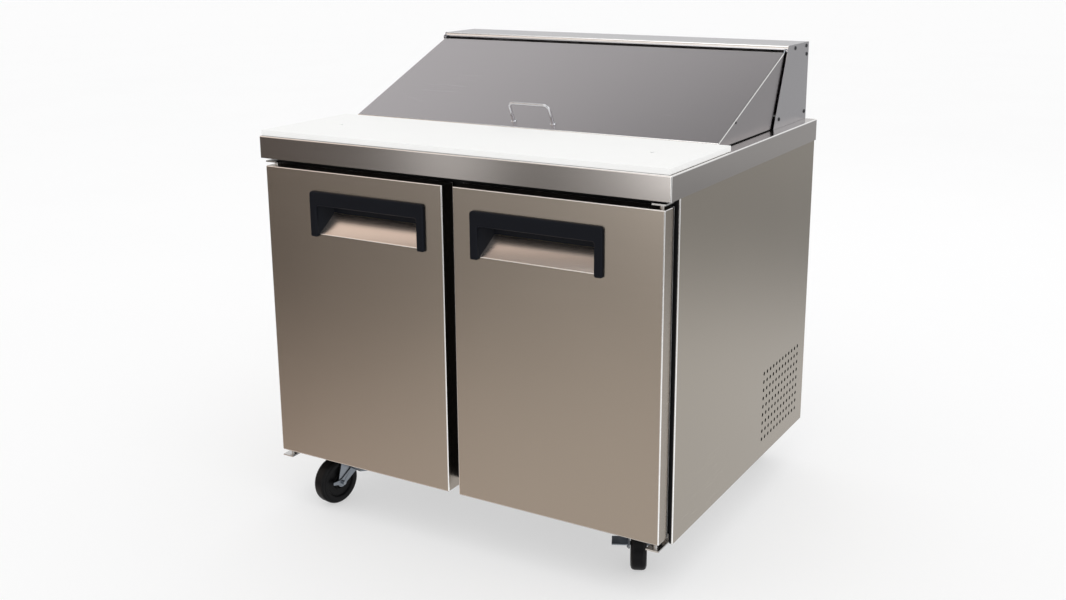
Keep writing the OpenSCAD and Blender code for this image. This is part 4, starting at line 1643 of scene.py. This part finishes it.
    def _scoop(self) -> None:
        """The sloping plate at the foot of the recess, tinted pale as painted light."""
        box = Box.of(f"{self.side.word}_handle_scoop")
        depth, rise, steps = box.size.y, box.size.z, 14
        loops = []
        for k in range(steps + 1):
            t = k / steps
            narrow = self.cheek_run * t
            y = box.low.y + depth * t
            z = box.low.z + 0.0014 + (rise - 0.0014) * (0.86 * t + 0.14 * t * t)
            loops.append([(box.low.x + narrow, y, z), (box.high.x - narrow, y, z)])
        scoop = Piece(f"{self.side.word}_hand_scoop")
        scoop.face([loops[0][0], loops[0][1], (box.high.x, box.low.y, box.low.z),
                    (box.low.x, box.low.y, box.low.z)])
        scoop.loft(loops, closed=False)
        scoop.round_edges(0.0007, 3, 30.0)
        scoop.thicken(self.gauge, (0, box.high.y, box.low.z - 0.1))
        scoop.build(self.body, SCOOP_STEEL, "brushed_steel", f"{self.side.word}_handle_scoop")


# ---------------------------------------------------------------- refrigeration


@dataclass
class Refrigeration:
    """Coils, fans, compressor and control box."""

    guard_rings: int = 5
    guard_wire: float = 0.0011

    def build(self) -> None:
        """Dresses the refrigeration parts and makes the fan's guard."""
        dress("evaporator_housing", LINER_METAL, 0.0005)
        dress("evaporator_coil", Fins("evaporator_fins", 0), 0.0006)
        dress("evaporator_fan", BLACK_MOULDING, 0.0004)
        dress("compressor", COMPRESSOR_PAINT, 0.003, 3)
        dress("condenser_coil", Fins("condenser_fins", 1), 0.0006)
        dress("condenser_shroud", BACK_STEEL, 0.0004)
        dress("condenser_fan", BLACK_MOULDING, 0.0004)
        dress("control_box", BOX_GREY, 0.0025, 3)
        fan, housing = Box.of("evaporator_fan"), Box.of("evaporator_housing")
        centre = Vector((fan.middle.x, housing.low.y - 0.0025, fan.middle.z))
        guard, axis, up = Piece("fan_guard"), Vector((0, 1, 0)), Vector((0, 0, 1))
        widest = fan.size.x / 2 + 0.012
        for k in range(1, self.guard_rings + 1):
            loop = ring(centre, axis, widest * k / self.guard_rings, 48, up)
            wire(guard, loop, self.guard_wire, 8, closed=True)
        for k in range(6):
            spoke = Matrix.Rotation(math.tau * k / 6, 3, axis) @ up
            ends = [centre + spoke * reach - axis * 0.001 for reach in (0.004, widest)]
            wire(guard, ends, self.guard_wire, 8)
        guard.build("cabinet", SHELF_WIRE, "shelf_wire")


# ---------------------------------------------------------------- casters


@dataclass
class Caster:
    """One swivel caster: fork, tyre and, at the front, a brake lever."""

    place: str
    braked: bool
    tread: float = 0.0508
    wide: float = 0.032

    def build(self) -> None:
        """Makes the wheel, and dresses the fork and the lever."""
        joint = next(j for j in frame["joints"] if j["child"] == f"{self.place}_wheel")
        axis, centre = Vector(joint["axis"]).normalized(), Vector(joint["pos_m"])
        half, r = self.wide / 2, self.tread
        side = [(half - 0.0030, 0.0045), (half - 0.0030, 0.0135), (half, 0.0150), (half, 0.0165),
                (half - 0.0040, 0.0180), (half - 0.0040, 0.0330), (half - 0.0006, 0.0350), (half, 0.0375),
                (half - 0.0002, 0.0432), (half - 0.0012, 0.0440), (half - 0.0010, 0.0456),
                (half - 0.0026, 0.0484), (half - 0.0055, 0.0502), (half - 0.0090, r)]
        outline = [(-d, radius) for d, radius in side] + [(d, radius) for d, radius in reversed(side)]
        wheel = Piece(f"{self.place}_tyre")
        turned(wheel, centre, axis, outline, 64)
        wheel.build(f"{self.place}_wheel", WHEEL_RUBBER, "wheel_rubber", f"{self.place}_wheel")
        dress(f"{self.place}_fork", ZINC, 0.0009, 2)
        if self.braked:
            dress(f"{self.place}_brake", LEVER_ZINC, 0.0007, 2)


def main() -> None:
    """Builds the studio and the table, one sub-assembly at a time."""
    logging.basicConfig(level=logging.INFO, format="%(message)s")
    Studio().build()
    parts = [Cabinet(), Worktop(), FoodPans(), Lid(), Hood(), Door(Side.LEFT), Door(Side.RIGHT),
             Refrigeration()]
    parts += [Caster(place, place.startswith("front"))
              for place in ("front_left", "front_right", "rear_left", "rear_right")]
    for part in parts:
        part.build()
        log.info("built %s", type(part).__name__)


if __name__ == "__main__":
    main()
